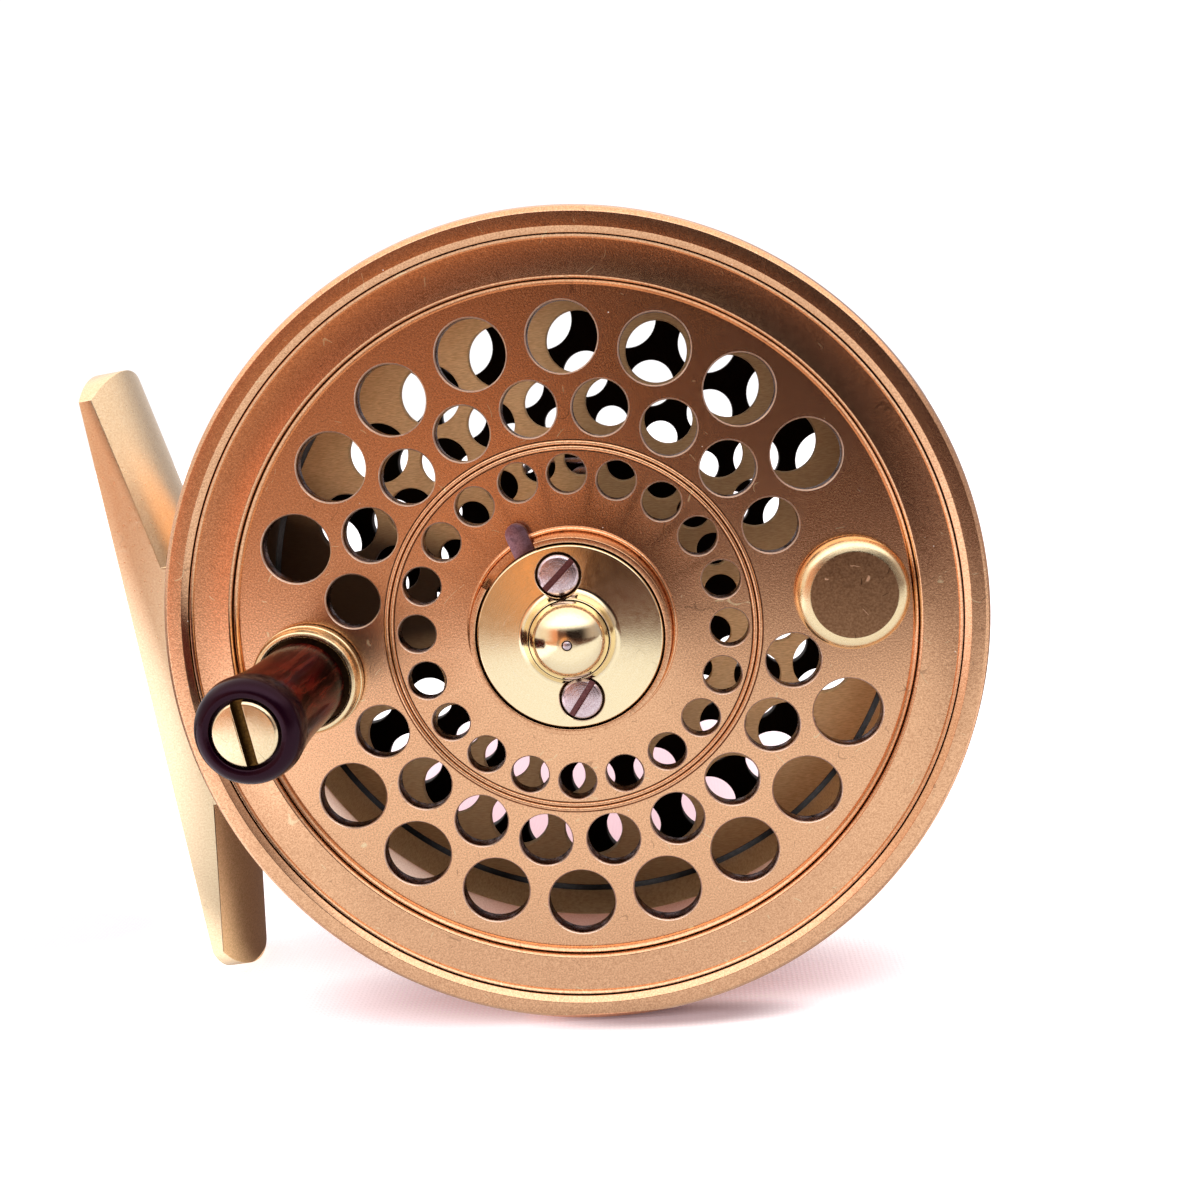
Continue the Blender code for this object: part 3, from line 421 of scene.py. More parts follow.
class Shader(Nodes):
    """The node tree of a material with a Principled shader."""

    def __init__(self, name):
        self.material = bpy.data.materials.new(name)
        self.material.use_nodes = True
        super().__init__(self.material.node_tree)
        self.main = self.tree.nodes["Principled BSDF"]
        self.place = self.node("ShaderNodeTexCoord").outputs["Object"]

    def surface(self, values):
        """Feeds inputs of the Principled shader."""
        for name, value in values.items():
            self.feed(self.main.inputs[name], value)

    def stretched(self, scale, turn=(0.0, 0.0, 0.0)):
        made = self.node("ShaderNodeMapping")
        made.inputs["Scale"].default_value = scale
        made.inputs["Rotation"].default_value = [math.radians(angle) for angle in turn]
        self.feed(made.inputs["Vector"], self.place)
        return made.outputs[0]

    def noise(self, scale, detail=2.0, roughness=0.5, vector=None, distortion=0.0):
        made = self.node("ShaderNodeTexNoise")
        self.feed(made.inputs["Vector"], vector or self.place)
        made.inputs["Scale"].default_value = scale
        made.inputs["Detail"].default_value = detail
        made.inputs["Roughness"].default_value = roughness
        made.inputs["Distortion"].default_value = distortion
        return made.outputs["Fac"]

    def radius(self):
        """Distance from the piece's own Z axis, in metres."""
        flat = self.node("ShaderNodeVectorMath", operation="MULTIPLY")
        flat.inputs[1].default_value = (1.0, 1.0, 0.0)
        self.feed(flat.inputs[0], self.place)
        return self.length(flat.outputs[0])

    def around(self, centre):
        """Share of a full turn, from the right and anticlockwise, round a line along Y in the world."""
        shift = self.node("ShaderNodeVectorMath", operation="SUBTRACT")
        self.feed(shift.inputs[0], self.node("ShaderNodeNewGeometry").outputs["Position"])
        shift.inputs[1].default_value = centre
        x, _, z = self.parts(shift.outputs[0])
        angle = self.math("ARCTAN2", z, x)
        return self.math("FRACT", self.math("ADD", self.math("DIVIDE", angle, math.tau), 1.0))

    def turning(self, pitch):
        """Fine rings round the axis, as a lathe leaves them, broken up along their length."""
        radius = self.math("DIVIDE", self.radius(), pitch)
        parts = self.node("ShaderNodeCombineXYZ")
        self.feed(parts.inputs[0], radius)
        self.feed(parts.inputs[1], self.noise(150.0, 1.0))
        return self.noise(1.0, 3.0, 0.7, parts.outputs[0])

    def specks(self, scale, size, share):
        """A mask of small dots: a share of the cells of the given scale has one."""
        cells = self.node("ShaderNodeTexVoronoi")
        cells.inputs["Scale"].default_value = scale
        self.feed(cells.inputs["Vector"], self.place)
        dot = self.span(cells.outputs["Distance"], size * 0.6, size, 1.0, 0.0)
        parts = self.node("ShaderNodeSeparateColor")
        self.feed(parts.inputs[0], cells.outputs["Color"])
        chosen = self.math("LESS_THAN", parts.outputs[0], share)
        return self.math("MULTIPLY", dot, chosen)

    def patch(self, centre, half):
        """A mask of a soft-edged ellipse on the floor, from its centre and half axes in millimetres."""
        made = self.node("ShaderNodeMapping")
        made.inputs["Location"].default_value = (-centre[0] / half[0], -centre[1] / half[1], 0.0)
        made.inputs["Scale"].default_value = (1 / (half[0] * MM), 1 / (half[1] * MM), 0.0)
        self.feed(made.inputs["Vector"], self.place)
        return self.span(self.length(made.outputs[0]), 0.3, 1.0, 1.0, 0.0, "SMOOTHSTEP")

    def hairs(self, scale, width, share):
        """A mask of short curved hairlines, scattered in every direction."""
        field = self.noise(scale, 0.0, 0.5, None, 0.6)
        line = self.span(self.math("ABSOLUTE", self.math("SUBTRACT", field, 0.5)), 0.0, width, 1.0, 0.0)
        patch = self.noise(scale * 2.3, 1.0, 0.5, self.stretched((1.0, 1.0, 1.0), (20.0, 35.0, 50.0)))
        return self.math("MULTIPLY", line, self.span(patch, share, share + 0.05))

    def bump(self, height, distance, strength=1.0):
        made = self.node("ShaderNodeBump")
        made.inputs["Distance"].default_value = distance * MM
        made.inputs["Strength"].default_value = strength
        self.feed(made.inputs["Height"], height)
        self.feed(self.main.inputs["Normal"], made.outputs[0])


def metal(name, colour, shade, rough, grain, turned=0.0, worn=0.0, dusty=0.0, grain_scale=6000.0):
    """A satin or polished metal.

    The colour drifts towards shade, rough is the lowest and highest roughness, grain the depth of its fine
    texture, turned the depth of lathe marks, worn the strength of scratches and dusty that of dust.
    """
    made = Shader(name)
    cloud = made.noise(120.0, 3.0, 0.6)
    speckle = made.noise(grain_scale, 2.0, 0.65)
    drift = made.math("MULTIPLY_ADD", speckle, 1.5, made.math("MULTIPLY", cloud, 0.15))
    tone = made.mix(made.span(drift, 0.55, 1.05), colour, shade)
    roughness = made.span(made.noise(1800.0, 2.0, 0.6), 0.3, 0.7, *rough)
    height = made.math("MULTIPLY", speckle, grain)
    if turned:
        rings = made.turning(0.00011)
        height = made.math("MULTIPLY_ADD", rings, turned, height)
        tone = made.mix(made.span(rings, 0.35, 0.65, 0.0, 0.55), tone, shade)
    if worn:
        dark = tuple(channel * 0.42 for channel in shade)
        light = tuple(min(1.0, channel * 1.4 + 0.1) for channel in colour)
        marks = made.math("MULTIPLY", made.hairs(330.0, 0.010, 0.585), worn)
        tone = made.mix(marks, tone, dark)
        glints = made.math("MULTIPLY", made.hairs(260.0, 0.011, 0.62), worn)
        tone = made.mix(glints, tone, light)
        roughness = made.math("MULTIPLY_ADD", glints, 0.2, roughness)
    metallic = 1.0
    if dusty:
        dots = made.math("MULTIPLY", made.specks(1300.0, 0.075, 0.03), dusty)
        tone = made.mix(dots, tone, (0.93, 0.84, 0.76))
        metallic = made.math("SUBTRACT", 1.0, dots)
    made.surface({"Metallic": metallic, "Base Color": tone, "Roughness": roughness})
    made.bump(height, 0.01)
    return made.material


def brushed_metal():
    """The turned inner faces of the spool: rough across the grooves, with fine straight rub marks, and a
    painted highlight and painted shade set by the angle round the spindle in the world.
    """
    made = Shader("turned_bronze")
    rubs = made.noise(1500.0, 3.0, 0.6, made.stretched((1.0, 9.0, 1.0), (0.0, 0.0, 52.0)))
    rings = made.turning(0.00014)
    tone = made.mix(made.span(rubs, 0.35, 0.65), (1.0, 0.70, 0.36), (0.70, 0.43, 0.20))
    tone = made.mix(made.span(rings, 0.3, 0.7, 0.0, 0.25), tone, (0.72, 0.53, 0.31))
    # Painted highlight and painted shade: the colour runs from near black to full tone with the angle round
    # the spindle, taken in the world so that it stays put while the spool turns.
    painted_gleam = made.node("ShaderNodeValToRGB")
    made.feed(painted_gleam.inputs[0], made.around(JOINT_AT["spool_spin"]))
    stops = painted_gleam.color_ramp.elements
    for degrees, share in PAINTED_GLEAMS:
        stop = stops.new(degrees / 360)
        stop.color = (share, share, share, 1.0)
    stops.remove(stops[0])
    stops.remove(stops[-1])
    tone = made.mix(painted_gleam.outputs[0], (0.03, 0.012, 0.005), tone)
    tangent = made.node("ShaderNodeTangent", direction_type="RADIAL", axis="Z")
    made.surface({"Base Color": tone, "Metallic": 0.45, "Roughness": 0.5, "Tangent": tangent.outputs[0]})
    made.surface({"Anisotropic": 0.85, "Anisotropic Rotation": 0.25})
    made.bump(rings, 0.008, 0.5)
    return made.material


def wood_material():
    """Dark varnished hardwood with its grain along the handle, darker at the rounded end."""
    made = Shader("varnished_hardwood")
    fibres = made.noise(900.0, 5.0, 0.65, made.stretched((1.0, 1.0, 0.09)), 0.4)
    pores = made.noise(2600.0, 2.0, 0.5, made.stretched((1.0, 1.0, 0.05)))
    figure = made.noise(210.0, 2.0, 0.5, made.stretched((1.0, 1.0, 0.3)), 1.2)
    warm = made.mix(made.span(figure, 0.4, 0.72), (0.006, 0.0003, 0.0005), (0.085, 0.004, 0.003))
    tone = made.mix(made.span(fibres, 0.5, 0.74, 0.0, 0.8), warm, (0.19, 0.024, 0.010))
    tone = made.mix(made.span(pores, 0.6, 0.72, 0.0, 0.75), tone, (0.004, 0.0004, 0.0006))
    end = made.ramp(made.parts(made.place)[2], 0.0168, 0.0182)
    tone = made.mix(end, tone, (0.006, 0.0004, 0.003))
    made.surface({"Base Color": tone, "Roughness": made.span(fibres, 0.3, 0.7, 0.16, 0.26)})
    shine = made.span(end, 0.0, 1.0, 0.03, 0.24)
    made.surface({"Specular IOR Level": shine, "Specular Tint": (1.0, 0.55, 0.75)})
    made.bump(made.math("MULTIPLY_ADD", pores, -0.6, fibres), 0.02, 0.5)
    return made.material


def floor_material():
    """White cloth: a fine plain weave, with painted pink shadow near, behind and beside the reel, and a
    painted contact shadow where it touches.
    """
    made = Shader("white_cloth")
    heights = []
    for direction in ("X", "Y"):
        wave = made.node("ShaderNodeTexWave", wave_type="BANDS", bands_direction=direction)
        made.feed(wave.inputs["Vector"], made.place)
        for key, value in {"Scale": 620.0, "Distortion": 1.2, "Detail": 1.0, "Detail Scale": 0.6}.items():
            wave.inputs[key].default_value = value
        heights.append(wave.outputs["Fac"])
    weave = made.math("MULTIPLY", *heights)
    # Painted shadows: soft patches near the reel, behind it and in a streak at the left tint the cloth pink
    # and dim its glow. A darker patch under the rim is a painted contact shadow.
    under = made.patch((12.5, -8.8), (17.0, 3.4))
    near = made.patch((5.0, -1.0), (46.0, 13.0))
    behind = made.patch((-4.0, 66.0), (54.0, 86.0))
    shadow_streak = made.math("MULTIPLY", made.patch((-68.0, 22.0), (34.0, 15.0)), 0.72)
    painted_shadow = made.math("MAXIMUM", made.math("MAXIMUM", behind, shadow_streak), made.math("MULTIPLY", near, 0.7))
    tone = made.mix(painted_shadow, (0.94, 0.93, 0.935), (0.93, 0.63, 0.69))
    tone = made.mix(made.span(weave, 0.0, 1.0, 0.2, 0.0), tone, (0.66, 0.50, 0.55))
    tone = made.mix(made.math("MULTIPLY", under, 0.75), tone, (0.24, 0.14, 0.15))
    glow = made.math("MULTIPLY_ADD", painted_shadow, -0.72, 0.75)
    glow = made.math("MULTIPLY_ADD", under, -0.2, glow)
    made.surface({"Base Color": tone, "Emission Color": tone, "Emission Strength": glow})
    made.surface({"Roughness": 0.95, "Specular IOR Level": 0.1})
    made.bump(weave, 0.06, 0.6)
    return made.material


BRONZE = metal("satin_bronze", (0.97, 0.585, 0.34), (0.66, 0.365, 0.20), (0.215, 0.24), 0.8, 0.0, 0.6, 0.9)
BRUSHED = brushed_metal()
# Painted shade for grooves, gaps and recesses
GROOVE_SHADE = metal("painted_groove_shade", (0.085, 0.042, 0.018), (0.045, 0.02, 0.009), (0.4, 0.55), 0.2)
# Painted shade on the walls of the holes
BORE_SHADE = metal("painted_bore_shade", (0.15, 0.065, 0.06), (0.09, 0.035, 0.035), (0.2, 0.3), 0.2)
# Painted highlight: a lighter metal for the chamfers of the holes and the cup's front edge
EDGE_HIGHLIGHT = metal("painted_edge_highlight", (1.0, 0.80, 0.66), (0.86, 0.64, 0.50), (0.34, 0.4), 0.3)
# Painted shade: near-black for the inside of the back plate
INSIDE_SHADE = metal("painted_inside_shade", (0.012, 0.008, 0.006), (0.006, 0.004, 0.003), (0.45, 0.6), 0.6)
BLASTED = 5200.0  # scale of the grain of blasted metal
FOOT_GOLD = metal(
    "blasted_gold", (0.98, 0.82, 0.56), (0.84, 0.65, 0.40), (0.27, 0.34), 1.5, 0.0, 0.2, 0.0, BLASTED
)
# A darker copy of the gold: painted shade on the crown of the foot's lower blade
CROWN_SHADE_GOLD = metal(
    "painted_shade_gold", (0.90, 0.63, 0.34), (0.70, 0.46, 0.22), (0.34, 0.42), 1.3, 0.0, 0.3, 0.2, BLASTED
)
PALE_GOLD = metal("satin_gold", (0.97, 0.82, 0.53), (0.88, 0.70, 0.41), (0.22, 0.29), 0.4, 0.3, 0.3, 0.2)
POLISHED = metal("polished_gold", (1.0, 0.88, 0.60), (0.95, 0.80, 0.50), (0.12, 0.16), 0.22, 0.16, 0.2, 0.15)
# A darker copy of the gold for the weight's top face: painted shade, with its real scratches
SHADED_SCRATCHED_GOLD = metal("scratched_gold_painted_shade", (0.4, 0.225, 0.12), (0.25, 0.13, 0.065), (0.3, 0.4), 0.9, 0, 2.2, 0.5, 4200.0)
BRASS = metal("brass", (0.98, 0.84, 0.58), (0.90, 0.72, 0.44), (0.20, 0.27), 0.3, 0.4, 0.4, 0.1)
# Painted shade in the handle screw's slot
SLOT_SHADE_BRASS = metal("painted_slot_shade_brass", (0.15, 0.085, 0.02), (0.07, 0.035, 0.01), (0.3, 0.45), 0.3)
STEEL = metal("turned_steel", (0.74, 0.64, 0.67), (0.52, 0.42, 0.45), (0.24, 0.36), 0.5, 1.6, 0.9, 0.3)
BRIGHT_STEEL = metal("bright_steel", (0.92, 0.80, 0.83), (0.62, 0.48, 0.52), (0.20, 0.30), 0.4, 2.6, 1.2, 0.3)
# Painted shade in the slots of the steel screws
SLOT_SHADE_STEEL = metal("painted_slot_shade", (0.26, 0.11, 0.11), (0.14, 0.055, 0.06), (0.3, 0.42), 0.3)
MAUVE = metal("latch_steel", (0.42, 0.25, 0.30), (0.26, 0.15, 0.19), (0.30, 0.40), 0.9, 0.0, 0.8, 0.3)
DARK_STEEL = metal("blued_steel", (0.10, 0.085, 0.10), (0.05, 0.04, 0.05), (0.12, 0.2), 0.2, 0.5, 0.2)
WOOD = wood_material()


# ---------------------------------------------------------------- spool
def spool():
    """The spool with its rim, beads, hub and three rings of chamfered holes through both flanges."""
    profile = [
        # Hub, boss and the bead round its foot
        (4.2, -1.5), (8.35, -1.5), (8.35, 1.6, 0.08), (9.03, 1.6), (9.03, 3.1, 0.1),
        (BOSS_OUTER, 3.1, 0.1), (9.72, 0.3, 0.2), *bead(10.0, 0.2, 0.12, 0.22), (10.2, 0.0, 0.05),
        # Pair of beads outside the smallest holes
        (17.36, 0.0), (17.42, -0.1), *bead(17.68, 0.2, -0.06, 0.2), (17.93, -0.12),
        *bead(18.18, 0.2, -0.06, 0.2), (18.44, -0.1), (18.5, 0.0),
        # Bead, groove and step up to the band
        (32.7, 0.0), (32.74, 0.27), (32.81, 0.37), (32.89, 0.46), (32.97, 0.53), (33.04, 0.565),
        (33.09, 0.54), (33.12, 0.3), (33.19, 0.3), (33.21, 1.02), (33.27, 1.1), (33.34, 1.17),
        (33.4, 1.21), (33.47, 1.22), (33.54, 1.2),
        # Bead, groove and step up to the lip
        (36.7, 1.46), (36.73, 1.6), (36.8, 1.69), (36.88, 1.76), (36.96, 1.8), (37.02, 1.79),
        (37.04, 1.5), (37.1, 1.5), (37.13, 1.96, 0.03), (37.66, 2.4, 0.05), (38.98, 2.44, 0.08),
        # Rim, which runs back over the cage
        (39.42, 2.08, 0.14), (39.66, 1.3, 0.2), (39.7, -0.4, 0.1), (39.7, -3.8, 0.3),
        (38.4, -3.8, 0.15), (38.4, -FLANGE),
        # Drum between the flanges, rear flange and the boss behind it
        (10.6, -FLANGE, 0.8), (9.6, -FLANGE - 1.0, 0.3), (9.6, REAR_FRONT + 1.0, 0.3),
        (10.6, REAR_FRONT, 0.8), (34.8, REAR_FRONT, 0.06), (34.8, REAR_BACK, 0.06),
        (8.4, REAR_BACK), (8.4, -22.6, 0.1), (4.2, -22.6),
    ]
    made = turned("spool_turned", profile, FINE)
    places = hole_places(SPOOL_HOLES)

    def holes(shape):
        add_bores(shape, places, 0.0, -FLANGE)
        add_bores(shape, places, REAR_FRONT, REAR_BACK, 0.11)

    def latch_slot(shape):
        add_prism(shape, sector(8.9, 10.6, 109.0, 148.5), 0.42, 4.0)

    def threads(shape):
        for angle, _ in COVER_SCREWS:
            add_pin(shape, *polar(COVER_SCREW_RING, angle), 0.95, 0.0, -4.6)
        add_pin(shape, *polar(*LATCH_PIVOT), 1.0, 0.0, -3.4)
        for ring, angle in ((WEIGHT_RING, WEIGHT_ANGLE), (HANDLE_RING, HANDLE_ANGLE)):
            add_pin(shape, *polar(ring, angle), 1.9, 1.0, -3.0, SMALL)
        for index in range(3):
            add_pin(shape, *polar(RATCHET_SCREW_RING, 120 * index + 30), 1.0, -19.5, -24.4)

    carve(made, holes)
    carve(made, latch_slot)
    carve(made, threads)
    skins = (BRONZE, BRUSHED, GROOVE_SHADE, BORE_SHADE, EDGE_HIGHLIGHT)
    place(made, SPOOL, "spool_assembly", "bronze_anodised", ["spool"], *skins)
    # Painted shade lines beside the beads: inner radius, outer radius and upper limit of each
    lines = [(33.1, 33.22, 0.62), (37.03, 37.12, 1.75)]
    lines += [(middle - 0.03, middle + 0.03, 0.1) for middle in (17.93, 17.43, 18.43)]
    # Painted shade goes on the rear flange's edge, on the boss's wall round the latch cover, beside the beads
    # and on the walls of the holes. The chamfers take a painted highlight, and the turned inner faces take
    # the metal with painted highlight and shade.
    for face in made.data.polygons:
        x, y, z = face.center / MM
        radius = math.hypot(x, y)
        facing = abs(face.normal.z)
        skin = BRONZE
        if z < REAR_FRONT + 0.3 and radius > 34.6:
            skin = GROOVE_SHADE
        elif z < -2.2:
            skin = BRUSHED
        elif radius < 9.0 and z > 1.4:
            skin = GROOVE_SHADE
        elif any(low < radius < high and -1.0 < z < top for low, high, top in lines):
            skin = GROOVE_SHADE
        elif -0.2 < z < -0.01 and 0.15 < facing < 0.97 and 13.0 < radius < 32.0:
            skin = EDGE_HIGHLIGHT
        elif -FLANGE + 0.1 < z < -0.12 and facing < 0.5 and radius < 32.0:
            skin = BORE_SHADE
        face.material_index = skins.index(skin)


def counterweight():
    profile = [
        (0.0, 1.95), (4.16, 1.95, 0.05), *ellipse((4.2, 0.5), (1.24, 1.38), 72, 4, 12),
        (5.42, 0.32, 0.06), (1.6, 0.3), (1.6, -2.2), (0.0, -2.2),
    ]
    made = turned("counterweight_turned", profile)
    weight = at(SPOOL, WEIGHT_RING, WEIGHT_ANGLE)
    place(made, weight, "spool_assembly", "gold_satin", ["counterweight"], PALE_GOLD, SHADED_SCRATCHED_GOLD)
    # The top face takes the darker, scratched gold: painted shade with real scratches
    for face in made.data.polygons:
        face.material_index = int(face.center.xy.length < 4.1 * MM)


def handle_boss():
    profile = [
        (1.9, 1.6), (4.45, 1.6, 0.05), (4.5, 2.36, 0.08), (4.72, 2.44, 0.08), (5.0, 2.36, 0.1),
        (5.24, 1.95, 0.1), (5.26, 1.1, 0.08), (5.4, 1.0, 0.05), (5.42, 0.32, 0.06), (1.9, 0.3),
    ]
    made = turned("handle_cup", profile)
    place(made, HANDLE, "spool_assembly", "gold_satin", ["handle_boss"], PALE_GOLD, GROOVE_SHADE)
    # The recess round the handle's foot takes painted shade
    for face in made.data.polygons:
        face.material_index = int(face.center.z < 2.2 * MM and face.center.xy.length < 4.5 * MM)


def handle_grip():
    side = []
    for step in range(13):
        height = 18.2 - 14.4 * step / 12
        side.append((4.16 + 0.0062 * max(0.0, height - 8.4) ** 2, height))
    profile = [
        (1.9, 19.1), (3.1, 19.1), (3.1, 19.95, 0.1),
        *ellipse((3.4, 18.7), (1.27, 1.4), 84, 8, 10), *side, (4.12, 2.9, 0.25), (1.9, 2.9),
    ]
    made = turned("handle_wood", profile)
    place(made, HANDLE, "handle", "wood", ["handle_grip"], WOOD)


def screw(name, matrix, node, body, slot, materials, sizes, turn, width, deep=0.5):
    """A screw with a slightly domed, slotted head.

    The sizes are the radii of its head and shank, and the heights of its top, the head's underside and
    the end of the shank.
    """
    head, shank, top, under, bottom = sizes
    edge = top - 0.12
    profile = [
        (0.0, top), (head * 0.5, top - 0.02), (head - 0.22, edge, 0.1),
        (head, edge - 0.2, 0.1), (head, under), (shank, under, 0.05), (shank, bottom + 0.2),
        (shank - 0.2, bottom), (0.0, bottom),
    ]
    made = turned(name, profile)
    carve(made, lambda shape: add_slab(shape, width, top - deep, top + 1.0, turn))
    carve(made, lambda shape: add_slab(shape, width * 1.15, edge + 0.02, top + 1.0, turn))
    place(made, matrix, body, slot, [node], *materials)
    angle = math.radians(turn) + (STAND.inverted() @ matrix).to_euler().z
    # Faces in the slot take the second material, a painted shade
    for face in made.data.polygons:
        x, y, z = face.center
        across = abs(y * math.cos(angle) - x * math.sin(angle))
        in_slot = across < width * 0.52 * MM and (edge - 0.02) * MM > z > (top - deep - 0.05) * MM
        face.material_index = int(in_slot)


def latch_cover():
    dome = ellipse((0.0, 4.0), (3.82, 2.9), 10, 78, 18)
    profile = [
        (0.5, 5.6), (0.5, 6.84), *reversed(dome), (3.76, 4.42), (3.79, 4.2), (3.83, 4.2),
        (3.86, 4.36, 0.04), (4.0, 4.2, 0.1), (4.2, 3.6, 0.3), (4.62, 3.14, 0.3),
        (8.7, 3.14, 0.04), (8.85, 2.99, 0.04), (8.85, 1.9, 0.1), (2.9, 1.9), (2.9, 4.0),
        (1.0, 5.6),
    ]
    made = turned("latch_cover_turned", profile, 192)

    def counterbores(shape):
        for angle, _ in COVER_SCREWS:
            x, y = polar(COVER_SCREW_RING, angle)
            bore = [
                (0.0, 5.0), (2.24, 5.0), (2.24, 3.12), (2.18, 3.06), (2.18, 2.5), (0.95, 2.5),
                (0.95, 1.0), (0.0, 1.0),
            ]
            add_lathe(shape, bore, 64, x, y)

    carve(made, counterbores)
    place(made, SPOOL, "spool_assembly", "gold_polished", ["latch_cover"], POLISHED, GROOVE_SHADE)
    # Painted shade on the cover's outer wall, in the screws' counterbores and in the groove at the dome's
    # foot
    for face in made.data.polygons:
        x, y, z = face.center / MM
        radius = math.hypot(x, y)
        wall = abs(face.normal.z) < 0.6 and (radius > 8.7 or 4.6 < radius < 8.3)
        face.material_index = int((wall and z < 3.0) or (2.4 < z < 2.9) or (3.76 < radius < 3.85 and z < 4.4))


def oil_pin():
    profile = [(0.0, 7.0), (0.2, 6.98), (0.38, 6.9, 0.06), (0.44, 6.7), (0.44, 5.9), (0.0, 5.9)]
    made = turned("oil_pin", profile, 32)
    place(made, SPOOL, "spool_assembly", "steel", ["oil_plug"], STEEL)


def from_node(node, name, body, slot, material, bevel):
    """A finished copy of a CAD node: flat faces made whole, edges rounded."""
    mesh = frame["nodes"][node].data.copy()
    mesh.name = name
    shape = bmesh.new()
    shape.from_mesh(mesh)
    bmesh.ops.remove_doubles(shape, verts=shape.verts, dist=2e-6)
    bmesh.ops.dissolve_limit(shape, angle_limit=math.radians(1.5), verts=shape.verts, edges=shape.edges)
    bmesh.ops.recalc_face_normals(shape, faces=shape.faces)
    for edge in shape.edges:
        edge.smooth = True
    shape.to_mesh(mesh)
    shape.free()
    made = bpy.data.objects.new(name, mesh)
    bpy.context.scene.collection.objects.link(made)
    bevelled(made, bevel, 2, 40)
    place(made, Matrix.Identity(4), body, slot, [node], material)


# ---------------------------------------------------------------- frame
def back_plate():
    """The cup and the perforated back plate in one piece, painted near-black as shade where it faces the
    spool.
    """

    def rear_bead(middle):
        return reversed(bead(middle, 0.2, PLATE_BACK + 0.12, -0.12))

    profile = [
        (2.7, PLATE_FRONT), (CUP_INNER, PLATE_FRONT, 0.6), (CUP_INNER, REAR_FRONT + 0.1),
        (CUP_INNER, CUP_FRONT, 0.2), (CUP_OUTER, CUP_FRONT, 0.25),
        (CUP_OUTER, PLATE_BACK + 1.3, 0.5), (CUP_OUTER - 1.3, PLATE_BACK, 0.5),
        (36.3, PLATE_BACK), (36.2, PLATE_BACK + 0.15), *rear_bead(35.95),
        (35.7, PLATE_BACK + 0.17), *rear_bead(35.45), (35.2, PLATE_BACK + 0.15),
        (35.1, PLATE_BACK), (14.6, PLATE_BACK), (14.5, PLATE_BACK + 0.15), *rear_bead(14.25),
        (14.0, PLATE_BACK + 0.17), *rear_bead(13.75), (13.5, PLATE_BACK + 0.15),
        (13.4, PLATE_BACK), (2.7, PLATE_BACK, 0.15),
    ]
    made = turned("cage_back", profile, FINE)
    places = hole_places(PLATE_HOLES)
    carve(made, lambda shape: add_bores(shape, places, PLATE_FRONT, PLATE_BACK))

    def fixings(shape):
        pins = [(SPINDLE_SCREW_RING, 120 * index, 1.0) for index in range(3)]
        pins.append((12.4, PAWL_ANGLE, 1.2))
        pins += [(15.4, PAWL_ANGLE + side * SPRING_POST_SPREAD, 0.75) for side in (-1, 1)]
        for ring, angle, radius in pins:
            add_pin(shape, *polar(ring, angle), radius, PLATE_FRONT + 1, PLATE_BACK - 1)

    carve(made, fixings)
    skins = (BRONZE, INSIDE_SHADE, BRUSHED, EDGE_HIGHLIGHT)
    place(made, FRAME, "frame", "bronze_anodised", ["back_plate"], *skins)
    # The cup's front edge takes a painted highlight and the plate's inside a painted near-black shade. The
    # cup's wall round the rear flange takes the turned metal with its painted highlight and shade.
    for face in made.data.polygons:
        radius = face.center.xy.length / MM
        height = face.center.z / MM
        skin = BRONZE
        if height > CUP_FRONT - 0.02:
            skin = EDGE_HIGHLIGHT
        elif radius < CUP_INNER + 0.1 and height > PLATE_BACK + 0.2:
            skin = INSIDE_SHADE if height < REAR_FRONT else BRUSHED
        face.material_index = skins.index(skin)


def front_ring():
    profile = [
        (35.5, RING_FRONT, 0.25), (37.9, RING_FRONT, 0.25), (37.9, RING_BACK, 0.4),
        (35.5, RING_BACK, 0.4),
    ]
    made = turned("cage_ring", profile, FINE)

    def holes(shape):
        angles = [angle - FOOT_TURN for angle in PILLAR_ANGLES] + [-BAR_SCREW_ANGLE, BAR_SCREW_ANGLE]
        for angle in angles:
            add_pin(shape, *polar(PILLAR_RING, angle), 0.75, -1.0, -7.0)

    carve(made, holes)
    place(made, FRAME, "frame", "bronze_anodised", ["front_ring"], BRONZE)


def pillar(index, angle):
    """A waisted round pillar with a collar at each end."""
    top = RING_BACK
    bottom = CUP_FRONT
    waist = []
    for step in range(13):
        share = step / 12
        bulge = math.sin(math.pi * share) ** 0.6
        waist.append((1.5 - 0.27 * bulge, top - 0.75 + (bottom - top + 1.5) * share))
    profile = [
        (0.0, top - 0.28), (1.5, top - 0.28, 0.1), (1.5, top - 0.62, 0.08), (1.4, top - 0.7),
        *waist, (1.4, bottom + 0.7), (1.5, bottom + 0.62, 0.08), (1.5, bottom + 0.28, 0.1),
        (0.0, bottom + 0.28),
    ]
    made = turned(f"cage_pillar_{index}", profile, SMALL)
    spot = at(FRAME, PILLAR_RING, angle - FOOT_TURN)
    place(made, spot, "frame", "bronze_anodised", [f"pillar_{index}"], BRONZE)


def foot_bar():
    """The curved bridge behind the foot, from the cup to the front ring."""
    outline = sector(35.6, CUP_OUTER - 0.1, -17.0, 17.0, 40)
    low = CUP_FRONT + 0.25
    high = RING_BACK - 0.25
    made = solid("cage_bridge", lambda shape: add_prism(shape, outline, low, high))
    bevelled(made, 0.35, 3, 40)
    place(made, FRAME, "frame", "bronze_anodised", ["foot_bar"], BRONZE)


